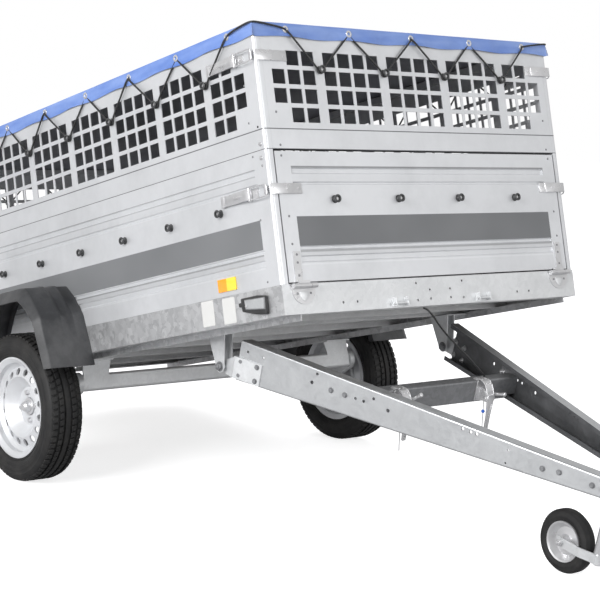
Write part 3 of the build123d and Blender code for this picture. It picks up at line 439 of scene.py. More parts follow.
def make_spangle():
    """Crystal flakes of hot-dip zinc."""
    floats = ("Flake Scale", "Contrast", "Roughness")
    group, start, end = effect("Zinc spangle", ("Light", "Dark"), floats)
    place = node(group, "ShaderNodeTexCoord").outputs["Object"]
    warp = noise(group, place, 30.0)
    shift = mixed(group, 0.06, place, warp, "ADD")
    flakes = node(group, "ShaderNodeTexVoronoi", feature="F1")
    group.links.new(shift, flakes.inputs["Vector"])
    group.links.new(start.outputs["Flake Scale"], flakes.inputs["Scale"])
    tone = node(group, "ShaderNodeSeparateColor")
    group.links.new(flakes.outputs["Color"], tone.inputs[0])
    streak = noise(group, place, 5.0, 6.0)
    blend = times(group, tone.outputs[0], start.outputs["Contrast"])
    cloudy = sums(group, "ADD", blend, ranged(group, streak, 0.35, 0.75, -0.1, 0.45), True)
    colour = mixed(group, cloudy, start.outputs["Light"], start.outputs["Dark"])
    change = times(group, tone.outputs[1], 0.14)
    rough = sums(group, "ADD", start.outputs["Roughness"], change)
    feed(group, end.inputs, (colour, rough, tone.outputs[2]))
    return group


EFFECTS = {}
FINISHES = {}


def new_finish(name, metallic=0.0, **plain):
    """Material with its shader and a bump; returns its tree and both nodes."""
    material = bpy.data.materials.new(name)
    material.use_nodes = True
    FINISHES[name] = material
    tree = material.node_tree
    shader = tree.nodes["Principled BSDF"]
    shader.inputs["Metallic"].default_value = metallic
    for label, value in plain.items():
        shader.inputs[label.replace("_", " ")].default_value = value
    bump = node(tree, "ShaderNodeBump", {"Strength": 0.2, "Distance": 0.0005})
    tree.links.new(bump.outputs[0], shader.inputs["Normal"])
    return tree, shader, bump


def rgb(colour):
    """The colour with full alpha."""
    return (*colour, 1.0)


def layered(name, effect_name, values, metallic, strength, depth, **plain):
    """Finish whose colour, roughness and height come from one of the effects."""
    tree, shader, bump = new_finish(name, metallic, **plain)
    layer = node(tree, "ShaderNodeGroup", values, node_tree=EFFECTS[effect_name])
    sockets = (shader.inputs["Base Color"], shader.inputs["Roughness"], bump.inputs["Height"])
    feed(tree, sockets, layer.outputs)
    feed(tree, (bump.inputs["Strength"], bump.inputs["Distance"]), (strength, depth))
    return tree, shader, layer


def grimy(name, colour, roughness, metallic, dirt, amount, cloud, grain, strength, depth=0.0003,
          change=0.15, **plain):
    """Finish from the grime effect."""
    values = {
        "Colour": rgb(colour), "Dirt": rgb(dirt), "Amount": amount, "Cloud Scale": cloud,
        "Grain Scale": grain, "Roughness": roughness, "Roughness Change": change,
    }
    return layered(name, "grime", values, metallic, strength, depth, **plain)


def zinc(name, light, shade_colour, flakes, contrast, roughness, metallic=0.85, strength=0.12):
    """Finish from the spangle effect."""
    values = {
        "Light": rgb(light), "Dark": rgb(shade_colour), "Flake Scale": flakes, "Contrast": contrast,
        "Roughness": roughness,
    }
    return layered(name, "spangle", values, metallic, strength, 0.0002)


def bed_place(tree, axes=BED):
    """Place in the leaning bed's own axes, or in the drawbar's: as a vector and as x, y, z."""
    place = node(tree, "ShaderNodeTexCoord").outputs["Object"]
    lean = node(tree, "ShaderNodeMapping", vector_type="TEXTURE")
    lean.inputs["Location"].default_value = axes.translation
    lean.inputs["Rotation"].default_value = axes.to_euler()
    tree.links.new(place, lean.inputs["Vector"])
    split = node(tree, "ShaderNodeSeparateXYZ")
    tree.links.new(lean.outputs[0], split.inputs[0])
    return lean.outputs[0], split.outputs


def between(tree, value, low, high, edge=0.0008):
    """Mask of a value between two limits, with edges of this half width."""
    above = ranged(tree, value, low - edge, low + edge)
    below = ranged(tree, value, high - edge, high + edge, 1.0, 0.0)
    return times(tree, above, below)


# columns: height on the wall, brightness of the rolled profile there: painted highlight above 1,
# painted shade below 1
PAINTED_FOLD_LIGHT = (
    (0.1480, 1.00), (0.1525, 1.10), (0.1570, 0.94), (0.1640, 0.94), (0.1680, 1.10), (0.1715, 0.88),
    (0.1890, 0.92), (0.1902, 0.52), (0.1960, 0.62), (0.2030, 0.88), (0.2075, 1.10), (0.2100, 1.00),
    (0.3960, 1.00), (0.4000, 1.10), (0.4040, 0.74), (0.4085, 0.96), (0.4330, 1.00), (0.4370, 0.60),
    (0.4450, 0.58), (0.4520, 0.66), (0.4560, 0.24), (0.4590, 1.00),
)


RAMP_REACH = 2.0  # metres of height to the ramp's 0 to 1
RAMP_DIM = 0.9  # keeps the ramp's values under 1


def paint_fold_light(tree, height):
    """Painted highlight and shade of the wall's rolled folds, by height."""
    ramp = tree.nodes.new("ShaderNodeValToRGB")
    stops = ramp.color_ramp.elements
    stops[0].position = PAINTED_FOLD_LIGHT[0][0] * RAMP_REACH
    stops[1].position = PAINTED_FOLD_LIGHT[-1][0] * RAMP_REACH
    for place, _ in PAINTED_FOLD_LIGHT[1:-1]:
        stops.new(place * RAMP_REACH)
    for stop, (_, value) in zip(stops, PAINTED_FOLD_LIGHT):
        stop.color = rgb([value * RAMP_DIM] * 3)
    tree.links.new(times(tree, height, RAMP_REACH), ramp.inputs[0])
    return times(tree, ramp.outputs[0], 1 / RAMP_DIM)


SHEET_DIRT = (0.42, 0.43, 0.44)
SHEET_METAL = 0.55
FACE_DEPTH = 0.0009  # a point this near a wall's outer face lies on it
BAND_END_X = 0.574  # end of the dark band on a gate, from the bed's middle
BAND_END_Y = 0.070  # end of the dark band on a side wall, from the bed's end
FOLD_SHADE_LINE = (0.5722, 0.5754)  # heights of the two dark lines low on the mesh: painted shade in the fold's crease and in the seam's gap
SEAM_SHADE_LINE = (0.5080, 0.5124)
LENS_SPLIT = 0.425  # where a rear lens turns from red to amber, from the middle
ARM_WALL = 0.0014  # what lies deeper behind the arm's outer face is its inside, which gets painted shade
ARM_LIP = 0.1082  # height of the underside of the arm's upper lip


def make_panel_finish(settings):
    """Pale zinc sheet with the dark band along the lower panels, no lettering, and painted
    highlight and shade of the rolled folds on the walls.
    """
    tree, shader, layer = grimy(
        "Panel sheet", settings.panel_colour, 0.42, SHEET_METAL, SHEET_DIRT, 0.35, 3.0, 900.0,
        0.05, 0.0001
    )
    vector, axis = bed_place(tree)
    height = between(tree, axis[2], settings.band_low, settings.band_high)
    from_middle = sums(tree, "ABSOLUTE", axis[0])
    on_gate = sums(tree, "LESS_THAN", from_middle, BAND_END_X)
    along = between(tree, axis[1], BAND_END_Y, BED_LENGTH - BAND_END_Y)
    on_side = sums(tree, "GREATER_THAN", from_middle, HALF_WIDTH - FACE_DEPTH)
    on_front = sums(tree, "LESS_THAN", axis[1], FACE_DEPTH)
    on_rear = sums(tree, "GREATER_THAN", axis[1], BED_LENGTH - FACE_DEPTH)
    ends = times(tree, sums(tree, "ADD", on_front, on_rear, True), on_gate)
    wall = sums(tree, "ADD", ends, times(tree, on_side, along), True)
    band = times(tree, wall, height)
    patches = ranged(tree, noise(tree, vector, 2.5, 2.0), 0.35, 0.7)
    grey = mixed(tree, patches, rgb((0.145, 0.15, 0.157)), rgb((0.185, 0.19, 0.197)))
    # painted highlight and shade of the folds, put on the walls only
    shaded = mixed(tree, 1.0, layer.outputs["Colour"], paint_fold_light(tree, axis[2]), "MULTIPLY")
    fold_painted = mixed(tree, wall, layer.outputs["Colour"], shaded)
    tree.links.new(mixed(tree, band, fold_painted, grey), shader.inputs["Base Color"])
    metal = times(tree, sums(tree, "SUBTRACT", 1.0, band), SHEET_METAL)
    tree.links.new(metal, shader.inputs["Metallic"])
    rough = node(tree, "ShaderNodeMix", data_type="FLOAT")
    feed(tree, (rough.inputs[0], rough.inputs[2], rough.inputs[3]),
         (band, layer.outputs["Roughness"], 0.5))
    tree.links.new(rough.outputs[0], shader.inputs["Roughness"])


def make_mesh_finish(settings):
    """Pale zinc sheet with painted shade in the fold line and in the seam of the mesh's bottom
    rail.
    """
    tree, shader, layer = grimy(
        "Mesh sheet", settings.panel_colour, 0.40, SHEET_METAL, SHEET_DIRT, 0.3, 4.0, 900.0,
        0.05, 0.0001
    )
    _, axis = bed_place(tree)
    fold = between(tree, axis[2], *FOLD_SHADE_LINE, 0.0006)
    seam = between(tree, axis[2], *SEAM_SHADE_LINE, 0.0004)
    # near-black painted shade in the crease and in the gap
    shade = times(tree, sums(tree, "MAXIMUM", fold, seam), 0.9)
    colour = mixed(tree, shade, layer.outputs["Colour"], rgb((0.085, 0.088, 0.095)))
    tree.links.new(colour, shader.inputs["Base Color"])


def make_cover_finish(settings):
    """Woven, coated tarpaulin with soft tone changes, in part painted sheen in a lighter blue."""
    tree, shader, bump = new_finish(
        "Tarpaulin cloth", 0.0, Sheen_Weight=0.5, Sheen_Roughness=0.4, Specular_IOR_Level=0.6
    )
    vector, _ = bed_place(tree)
    threads = 0.0
    for way in "XYZ":
        thread = node(
            tree, "ShaderNodeTexWave", {"Scale": 260.0, "Distortion": 0.4}, bands_direction=way
        )
        tree.links.new(vector, thread.inputs["Vector"])
        threads = sums(tree, "MAXIMUM", threads, thread.outputs[1])
    stretch = node(tree, "ShaderNodeMapping", {"Scale": (1.0, 1.0, 6.0)})
    tree.links.new(vector, stretch.inputs["Vector"])
    tone = noise(tree, stretch.outputs[0], 4.0, 3.0, 0.5)
    # the lighter blue is partly random tone, partly painted sheen
    tone_and_sheen_mix = ranged(tree, tone, 0.15, 0.80)
    colour = mixed(tree, tone_and_sheen_mix, rgb(settings.cover_colour), rgb(settings.cover_tone_and_sheen))
    woven = mixed(tree, times(tree, threads, 0.16), colour, rgb((0.02, 0.07, 0.30)))
    tree.links.new(woven, shader.inputs["Base Color"])
    crease = noise(tree, vector, 18.0, 3.0, 0.5)
    height = sums(tree, "ADD", times(tree, threads, 0.3), times(tree, crease, 5.0))
    tree.links.new(height, bump.inputs["Height"])
    bump.inputs["Strength"].default_value = 0.35
    bump.inputs["Distance"].default_value = 0.0006
    tree.links.new(ranged(tree, tone, 0.3, 0.7, 0.34, 0.5), shader.inputs["Roughness"])


REFLECTOR_Y = 0.2675  # middle of a side reflector, from the bed's end


def make_marker_finish():
    """Amber reflector, its outer half lighter, with a fine prism grid."""
    tree, shader, bump = new_finish("Amber marker", 0.0, Roughness=0.18, Coat_Weight=0.6)
    vector, axis = bed_place(tree)
    near = sums(tree, "ABSOLUTE", sums(tree, "SUBTRACT", axis[1], BED_LENGTH / 2))
    half = sums(tree, "GREATER_THAN", near, BED_LENGTH / 2 - REFLECTOR_Y)
    grid = node(tree, "ShaderNodeTexVoronoi", {"Scale": 420.0, "Randomness": 0.0}, feature="F1")
    tree.links.new(vector, grid.inputs["Vector"])
    warm = mixed(tree, half, rgb((1.0, 0.38, 0.01)), rgb((1.0, 0.72, 0.06)))
    dim = ranged(tree, grid.outputs[0], 0.2, 0.8, 0.0, 0.22)
    colour = mixed(tree, dim, warm, rgb((0.75, 0.26, 0.0)))
    tree.links.new(colour, shader.inputs["Base Color"])
    tree.links.new(grid.outputs[0], bump.inputs["Height"])


def make_lamp_finish():
    """Rear lamp lens: red with an amber outer third."""
    tree, shader, bump = new_finish("Rear lens", 0.0, Roughness=0.12, Coat_Weight=0.8)
    vector, axis = bed_place(tree)
    outer = sums(tree, "GREATER_THAN", sums(tree, "ABSOLUTE", axis[0]), LENS_SPLIT)
    ribs = node(tree, "ShaderNodeTexWave", {"Scale": 55.0}, bands_direction="X")
    tree.links.new(vector, ribs.inputs["Vector"])
    base = mixed(tree, outer, rgb((0.55, 0.008, 0.006)), rgb((0.95, 0.30, 0.01)))
    colour = mixed(tree, times(tree, ribs.outputs[1], 0.25), base, rgb((0.12, 0.0, 0.0)))
    tree.links.new(colour, shader.inputs["Base Color"])
    tree.links.new(ribs.outputs[1], bump.inputs["Height"])
    bump.inputs["Strength"].default_value = 0.3


def make_arm_finish():
    """Bright zinc outside, and inside the drawbar's channels a dark zinc colour that is painted
    shade.
    """
    tree, shader, layer = zinc(
        "Arm steel", (0.52, 0.53, 0.54), (0.43, 0.44, 0.45), 70.0, 0.35, 0.42
    )
    vector, axis = bed_place(tree, BAR)
    # depth of the point behind the arm's outer face
    face = sums(tree, "ADD", times(tree, axis[1], tan(ARM_ANGLE)), ARM_HALF)
    depth = sums(tree, "SUBTRACT", face, sums(tree, "ABSOLUTE", axis[0]))
    inner = sums(tree, "GREATER_THAN", depth, ARM_WALL)
    below = sums(tree, "LESS_THAN", axis[2], ARM_LIP)
    painted_shade = times(tree, times(tree, inner, below), 0.85)
    # painted shade: dark cloudy zinc inside the channels, under the upper lip
    patches = ranged(tree, noise(tree, vector, 9.0, 5.0), 0.35, 0.7)
    shade_colour = mixed(tree, patches, rgb((0.10, 0.102, 0.108)), rgb((0.19, 0.192, 0.20)))
    colour = mixed(tree, painted_shade, layer.outputs["Colour"], shade_colour)
    tree.links.new(colour, shader.inputs["Base Color"])


def make_floor_board():
    """Film-faced plywood: dark brown film with a fine mesh print on the top."""
    tree, shader, layer = grimy(
        "Floor board", (0.075, 0.045, 0.03), 0.45, 0.0, (0.16, 0.13, 0.10), 0.5, 4.0, 300.0,
        0.2, 0.0004
    )
    vector, _ = bed_place(tree)
    grid = node(tree, "ShaderNodeTexVoronoi", {"Scale": 160.0, "Randomness": 0.0}, feature="F1")
    tree.links.new(vector, grid.inputs["Vector"])
    dots = ranged(tree, grid.outputs[0], 0.3, 0.5, 0.0, 0.5)
    colour = mixed(tree, dots, layer.outputs["Colour"], rgb((0.03, 0.018, 0.012)))
    tree.links.new(colour, shader.inputs["Base Color"])


def make_zincs(settings):
    """The finishes that are the spangle effect alone."""
    # columns: name, light and dark flakes, flake scale, contrast, roughness, metallic, bump
    zinc("Galvanised steel", settings.zinc_light, settings.zinc_dark, 70.0, 0.35, 0.40, 0.6, 0.06)
    # darker flakes: painted shade for the crossbeam's shaded front, also used on the dull small
    # parts
    zinc("Dull zinc with painted shade", (0.28, 0.285, 0.295), (0.18, 0.183, 0.19), 70.0, 0.5, 0.42, 0.6, 0.08)
    zinc("Rail zinc", (0.66, 0.665, 0.675), (0.44, 0.445, 0.455), 55.0, 0.75, 0.40, 0.80, 0.10)
    zinc("Bright zinc", (0.68, 0.68, 0.69), (0.52, 0.52, 0.53), 40.0, 0.3, 0.26, 0.75, 0.03)


def make_plain(settings):
    """The finishes that are the grime effect alone."""
    # columns: name, colour, roughness, metallic, dirt, its amount, scales of cloud and grain,
    # strength and depth of the bump, change of the roughness
    plain = (
        ("Knob plastic", (0.050, 0.051, 0.053), 0.34, 0.0, [0.06] * 3, 0.3, 40.0, 1200.0, 0.15),
        ("Guard plastic", settings.guard_colour, 0.50, 0.0, (0.11, 0.11, 0.112), 0.5, 7.0,
         1600.0, 0.35, 0.0004),
        ("Rim paint", (0.70, 0.71, 0.73), 0.38, 0.40, [0.38] * 3, 0.25, 9.0, 700.0, 0.08,
         0.0002, 0.2),
        ("Lamp rubber", (0.022, 0.022, 0.023), 0.45, 0.0, [0.08] * 3, 0.3, 30.0, 900.0, 0.25),
        ("Cover back", (0.240, 0.250, 0.290), 0.6, 0.0, (0.09, 0.09, 0.10), 0.3, 4.0, 900.0, 0.1),
        ("Cord black", (0.012, 0.012, 0.013), 0.55, 0.0, [0.05] * 3, 0.4, 60.0, 1500.0, 0.5,
         0.0004),
        ("Cable black", (0.010, 0.010, 0.011), 0.38, 0.0, [0.05] * 3, 0.3, 40.0, 900.0, 0.1),
        ("Blank plate", (0.60, 0.60, 0.59), 0.55, 0.0, (0.62, 0.62, 0.6), 0.5, 25.0, 700.0, 0.05),
        ("Blue bead", (0.03, 0.13, 0.55), 0.25, 0.0, (0.02, 0.06, 0.3), 0.4, 90.0, 900.0, 0.1),
        # near-black painted shade that stands for holes
        ("Painted hole shade", (0.006, 0.006, 0.006), 0.8, 0.0, [0.03] * 3, 0.3, 60.0, 900.0, 0.1),
    )
    for finish in plain:
        grimy(*finish)
    grimy("Tyre rubber", (0.010, 0.010, 0.0105), 0.62, 0.0, (0.055, 0.052, 0.048), 0.3, 14.0,
          900.0, 0.3, 0.0004, Specular_IOR_Level=0.36)
    grimy("Clear lens", (0.36, 0.37, 0.38), 0.14, 0.0, [0.5] * 3, 0.3, 60.0, 260.0, 0.4, 0.0006,
          0.1, Coat_Weight=0.8)


def make_finishes(settings):
    """All the finishes of the trailer."""
    EFFECTS["grime"] = make_grime()
    EFFECTS["spangle"] = make_spangle()
    make_panel_finish(settings)
    make_mesh_finish(settings)
    make_cover_finish(settings)
    make_marker_finish()
    make_lamp_finish()
    make_arm_finish()
    make_floor_board()
    make_zincs(settings)
    make_plain(settings)


SLOT_FINISH = {
    "zinc_sheet": "Panel sheet",
    "galvanised": "Galvanised steel",
    "mesh_steel": "Mesh sheet",
    "plywood": "Floor board",
    "tarp_fabric": "Tarpaulin cloth",
    "black_plastic": "Knob plastic",
    "guard_plastic": "Guard plastic",
    "tyre_rubber": "Tyre rubber",
    "rim_silver": "Rim paint",
    "hub_steel": "Bright zinc",
    "amber_lens": "Amber marker",
    "lamp_housing": "Lamp rubber",
    "red_lens": "Rear lens",
    "bright_zinc": "Bright zinc",
    "clasp_steel": "Bright zinc",
}


NODE_FINISH = {
    "drawbar_arm_right": "Arm steel",
    "drawbar_arm_left": "Arm steel",
    # the crossbeam takes the darker zinc as painted shade
    "drawbar_crossbeam": "Dull zinc with painted shade",
    "jockey_bracket": "Dull zinc with painted shade",
    "jockey_rim": "Bright zinc",
    "jockey_fork": "Galvanised steel",
    "side_rail_right": "Rail zinc",
    "side_rail_left": "Rail zinc",
}


# Settings


def length(name, description, default):
    """Setting for a length in metres."""
    return FloatProperty(name=name, description=description, default=default, unit="LENGTH")


def tint(name, description, default):
    """Setting for a colour."""
    return FloatVectorProperty(
        name=name, description=description, subtype="COLOR", size=3, default=default, min=0, max=1
    )


class TrailerSizes(bpy.types.PropertyGroup):
    """Sizes that a user may change"""

    tread_depth: length("Tread depth", "Depth of the tyre's grooves", 0.0076)
    tread_blocks: IntProperty(
        name="Tread blocks", description="Blocks round one tyre", default=68, min=24
    )
    cover_drop: length("Cover drop", "Depth of the cover's skirt", 0.046)
    cover_sag: length("Cover sag", "How far the cover sinks in the middle", 0.010)
    cord_radius: length("Cord radius", "Half the elastic cord's thickness", 0.0032)
    rivet_radius: length("Rivet radius", "Radius of a rivet's head", 0.0038)


class TrailerColours(bpy.types.PropertyGroup):
    """Colours that a user may change"""

    panel_colour: tint("Panels", "Sheet of the side panels", (0.70, 0.71, 0.73))
    zinc_light: tint("Zinc light", "Bright flakes of the frame", (0.70, 0.71, 0.72))
    zinc_dark: tint("Zinc dark", "Dull flakes of the frame", (0.55, 0.56, 0.57))
    cover_colour: tint("Cover", "Main blue of the cover", (0.036, 0.132, 0.490))
    # lighter blue: partly random tone, partly painted sheen
    cover_tone_and_sheen: tint("Cover tone and sheen", "Light blue of the cover", (0.28, 0.40, 0.73))
    guard_colour: tint("Mudguards", "Plastic of the mudguards", (0.020, 0.021, 0.0235))
    band_low: length("Band foot", "Lower edge of the dark band", 0.209)
    band_high: length("Band top", "Upper edge of the dark band", 0.301)


def sizes():
    return bpy.context.scene.trailer_sizes


def colours():
    return bpy.context.scene.trailer_colours


# Stage


class STAGE_OT_studio(bpy.types.Operator):
    """Camera of the photograph, a white floor and soft light"""

    bl_idname = "trailer.studio"
    bl_label = "Studio"

    def execute(self, context):
        clear()
        bpy.ops.object.camera_add(location=CAMERA_PLACE)
        camera = context.object
        camera.rotation_euler = [radians(angle) for angle in CAMERA_TURN]
        camera.data.sensor_width = CAMERA_SENSOR
        camera.data.lens = CAMERA_LENS
        camera.data.clip_end = 100
        context.scene.camera = camera
        clear()
        bpy.ops.mesh.primitive_plane_add(size=STAGE_SIZE, location=(0, 0, 0))
        floor = context.object
        floor.name = "studio_floor"
        edit(floor)
        bpy.ops.mesh.subdivide(number_cuts=3)
        done()
        floor.data.materials.append(self.white_floor())
        self.white_world()
        # columns: name, place, diameter, power
        table = (
            ("Key", (-9.0, -2.4, 4.2), 5.0, 950),
            ("Front fill", (1.5, -9.0, 2.8), 4.0, 225),
            ("Back", (3.0, 7.0, 6.0), 6.0, 320),
        )
        for name, place, size, power in table:
            self.lamp(name, place, size, power)
        context.scene.view_settings.view_transform = "Standard"
        return {"FINISHED"}

    def lamp(self, name, place, size, power):
        """Round area light that looks at the trailer."""
        clear()
        bpy.ops.object.light_add(type="AREA", location=place)
        light = bpy.context.object
        light.name = name
        light.data.shape = "DISK"
        light.data.size = size
        light.data.energy = power
        aim = STAGE_AIM - Vector(place)
        light.rotation_euler = aim.to_track_quat("-Z", "Y").to_euler()

    def white_floor(self):
        """Floor that takes the shadow and is plain white to the camera."""
        material = bpy.data.materials.new("Studio white")
        material.use_nodes = True
        tree = material.node_tree
        shader = tree.nodes["Principled BSDF"]
        shader.inputs["Roughness"].default_value = 0.9
        shader.inputs["Specular IOR Level"].default_value = 0.0
        glow = node(tree, "ShaderNodeEmission", {"Color": (1, 1, 1, 1)})
        camera_ray = tree.nodes.new("ShaderNodeLightPath").outputs["Is Camera Ray"]
        tree.links.new(times(tree, camera_ray, FLOOR_GLOW), glow.inputs["Strength"])
        colour = mixed(tree, camera_ray, rgb((0.62, 0.62, 0.63)), rgb((0.80, 0.80, 0.81)))
        tree.links.new(colour, shader.inputs["Base Color"])
        both = tree.nodes.new("ShaderNodeAddShader")
        tree.links.new(shader.outputs[0], both.inputs[0])
        tree.links.new(glow.outputs[0], both.inputs[1])
        tree.links.new(both.outputs[0], tree.nodes["Material Output"].inputs[0])
        return material

    def white_world(self):
        """Sky that is white to the camera and dimmer as a light."""
        world = bpy.data.worlds.new("Studio sky")
        bpy.context.scene.world = world
        world.use_nodes = True
        tree = world.node_tree
        sky = tree.nodes["Background"]
        sky.inputs["Color"].default_value = (1, 1, 1, 1)
        rays = tree.nodes.new("ShaderNodeLightPath").outputs
        seen = sums(tree, "MAXIMUM", rays["Is Camera Ray"], rays["Is Transmission Ray"])
        bright = sums(tree, "MAXIMUM", seen, times(tree, rays["Is Glossy Ray"], SKY_GLOSS))
        tree.links.new(ranged(tree, bright, 0.0, 1.0, SKY_LIGHT, 1.0), sky.inputs["Strength"])


# Pieces


class FINISH_OT_cad(bpy.types.Operator):
    """Give every CAD piece the finish of its slot"""

    bl_idname = "trailer.finish_cad"
    bl_label = "Finishes"

    def execute(self, context):
        make_finishes(colours())
        slots = {part["node"]: part["material_slot"] for part in frame["record"]["subparts"]}
        for name, slot in slots.items():
            piece = bpy.data.objects[name]
            finish = FINISHES[NODE_FINISH.get(name, SLOT_FINISH[slot])]
            if not piece.material_slots:
                piece.data.materials.append(finish)
            for place in piece.material_slots:
                place.material = finish
        return {"FINISHED"}


class WHEEL_OT_tyres(bpy.types.Operator):
    """Road tyres with ribs, shoulder blocks and sidewall rings"""

    bl_idname = "trailer.tyres"
    bl_label = "Tyres"

    def execute(self, context):
        deep = TYRE_RADIUS - sizes().tread_depth
        base = TYRE_RADIUS - 0.0068  # foot of the shoulder blocks
        # half section from the bead to the crown: radius, distance out from the tyre's centre
        half = [
            (0.1665, 0.0530), (0.1822, 0.0572), (0.1855, 0.0618), (0.1885, 0.0640),
            (0.1915, 0.0628), (0.1960, 0.0668), (0.2050, 0.0700), (0.2055, 0.0712),
            (0.2090, 0.0715), (0.2100, 0.0724), (0.2240, 0.0724), (0.2250, 0.0716),
            (0.2380, 0.0700), (0.2395, 0.0706), (0.2440, 0.0685), (0.2500, 0.0655),
            (0.2560, 0.0610), (0.2585, 0.0560), (TYRE_RADIUS - 0.0072, 0.0545), (base, 0.0440),
        ]
        # two grooves a side: middle, and height of the land inside the groove
        for middle, land in ((0.0370, base), (0.0125, TYRE_RADIUS - 0.0003)):
            half += [(base, middle + 0.0045), (deep, middle + 0.0030)]
            half += [(deep, middle - 0.0030), (land, middle - 0.0045)]
        half.append((TYRE_RADIUS, 0.004))
        section = half + [(radius, -out) for radius, out in reversed(half)]
        tyre = joined("tyre", [turned("carcass", section, "X", 96), self.tread()])
        for name, _ in SIDES:
            made = tyre.copy()
            made.data = tyre.data.copy()
            made.name = f"road_tyre_{name}"
            context.collection.objects.link(made)
            centre = at(*joints[f"wheel_{name}_spin"]["pos_m"])
            fit(made, f"wheel_{name}", "Tyre rubber", centre)
            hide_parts(f"tyre_{name}")
        bpy.data.objects.remove(tyre, do_unlink=True)
        return {"FINISHED"}

    def tread(self):
        """Raised blocks: a shoulder row and a rib row on each side, each with its own slant."""
        count = sizes().tread_blocks
        step = 2 * pi / count
        lift = TYRE_RADIUS + 0.0003  # just proud of the carcass
        rows = []
        # columns: inner and outer edge, share of the pitch, slant, start angle, drop at the edge
        table = (
            (0.0418, 0.0590, 0.70, 0.004, 0.0, 0.0045),
            (0.0172, 0.0323, 0.84, 0.006, 0.5, 0.0006),
        )
        for inner, outer, share, slant, shift, drop in table:
            half = share * step * TYRE_RADIUS / 2
            for side in (-1, 1):
                lean = side * slant / 2
                top = [
                    (side * inner, -half - lean, lift), (side * inner, half - lean, lift),
                    (side * outer, half + lean, lift - drop),
                    (side * outer, lean - half, lift - drop),
                ]
                piece = soften(outline("tread", top, (0, 0, -sizes().tread_depth)), 0.0008, 1)
                places = [Matrix.Rotation(step * (i + shift), 4, "X") for i in range(count)]
                rows.append(copies("row", piece, places))
        return joined("blocks", rows)


class COVER_OT_sheet(bpy.types.Operator):
    """Blue tarpaulin: a sheet over the mesh with a hanging skirt"""

    bl_idname = "trailer.cover"
    bl_label = "Cover"
    over = 0.0035  # how far the cover reaches past the mesh on each side
    cells = (132, 232)

    def execute(self, context):
        clear()
        drop = sizes().cover_drop
        half_x = HALF_WIDTH + self.over
        half_y = BED_LENGTH / 2 + self.over
        width = 2 * (half_x + drop)
        length = 2 * (half_y + drop)
        across, along = self.cells
        bpy.ops.mesh.primitive_grid_add(x_subdivisions=across, y_subdivisions=along, size=1)
        cloth = context.object
        cloth.name = "cover_sheet"
        for vertex in cloth.data.vertices:
            vertex.co = self.lay(vertex.co.x * width, vertex.co.y * length, half_x, half_y, drop)
        pick(cloth)
        wall = cloth.modifiers.new("Thickness", "SOLIDIFY")
        wall.thickness = 0.0012
        wall.offset = 0
        bpy.ops.object.modifier_apply(modifier=wall.name)
        smooth(cloth, 60)
        fit(cloth, "bed", "Tarpaulin cloth")
        self.line(cloth)
        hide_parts("tarpaulin")
        return {"FINISHED"}

    def line(self, cloth):
        """Give the faces that look into the load space the cloth's dark back."""
        cloth.data.materials.append(FINISHES["Cover back"])
        to_bed = BED.inverted()
        turn = to_bed.to_3x3()
        for face in cloth.data.polygons:
            way = turn @ face.normal
            spot = to_bed @ face.center
            side = way.x * (1 if spot.x > 0 else -1)
            end = way.y * (1 if spot.y > BED_LENGTH / 2 else -1)
            if min(way.z, side, end) < -0.7:
                face.material_index = 1

    def lay(self, u, v, half_x, half_y, drop):
        """Place of one point of the flat cloth: on top, or folded down past an edge."""
        over_x = max(0.0, abs(u) - half_x)
        over_y = max(0.0, abs(v) - half_y)
        side_x = 1 if u > 0 else -1
        side_y = 1 if v > 0 else -1
        x = max(-half_x, min(half_x, u))
        y = max(-half_y, min(half_y, v))
        down = max(over_x, over_y)
        z = MESH_TOP + 0.0022 - down
        if down == 0:
            # flat on the rails, and inside them a sag with faint wrinkles
            free_x, free_y = half_x - RAIL, half_y - RAIL
            across = cos(pi * u / (2 * free_x)) if abs(u) < free_x else 0.0
            along = cos(pi * v / (2 * free_y)) ** 0.5 if abs(v) < free_y else 0.0
            z -= sizes().cover_sag * across * along
            z += 0.0012 * sin(u * 21 + 1.3 * sin(v * 6)) * across * along
            return (x, y + BED_LENGTH / 2, z)
        # past the fold the skirt stands off the mesh, waves and scallops between the knobs
        reach = min(1.0, down / 0.012)
        wave_y = 0.0016 * sin(v * 23 + 0.6) + 0.0010 * sin(v * 61 + u)
        wave_x = 0.0016 * sin(u * 23 + 0.4) + 0.0010 * sin(u * 57 + v)
        hang = down / drop
        if over_x > 0 and over_y > 0:
            pleat = 0.006 * sin(pi * min(over_x, over_y) / drop)
            x += side_x * (pleat * 0.7 + 0.0008) * hang
            y += side_y * (pleat * 0.7 + 0.0008) * hang
        elif over_x > 0:
            x += side_x * (0.0012 + wave_y * hang) * reach
            z += 0.0030 * hang * sin((v - 0.03) * 2 * pi / KNOB_PITCH)
        else:
            y += side_y * (0.0012 + wave_x * hang) * reach
            z += 0.0030 * hang * sin((u + 0.06) * 2 * pi / KNOB_PITCH)
        return (x, y + BED_LENGTH / 2, z)


def tie_points():
    """Eyelets and knobs of the front and of a side, in turn, as (along, height)."""
    front = [(-EYELET_END_X, EYELET_Z)]
    for i in range(4):
        front.append(((i - 1.5) * KNOB_PITCH, MESH_KNOB_Z))
        front.append(((i - 1) * KNOB_PITCH if i < 3 else EYELET_END_X, EYELET_Z))
    side = [(EYELET_END_Y, EYELET_Z)]
    for i in range(8):
        knob = BED_LENGTH / 2 + (i - 3.5) * KNOB_PITCH
        side.append((knob, MESH_KNOB_Z))
        side.append((knob + KNOB_PITCH / 2 if i < 7 else BED_LENGTH - EYELET_END_Y, EYELET_Z))
    return front, side


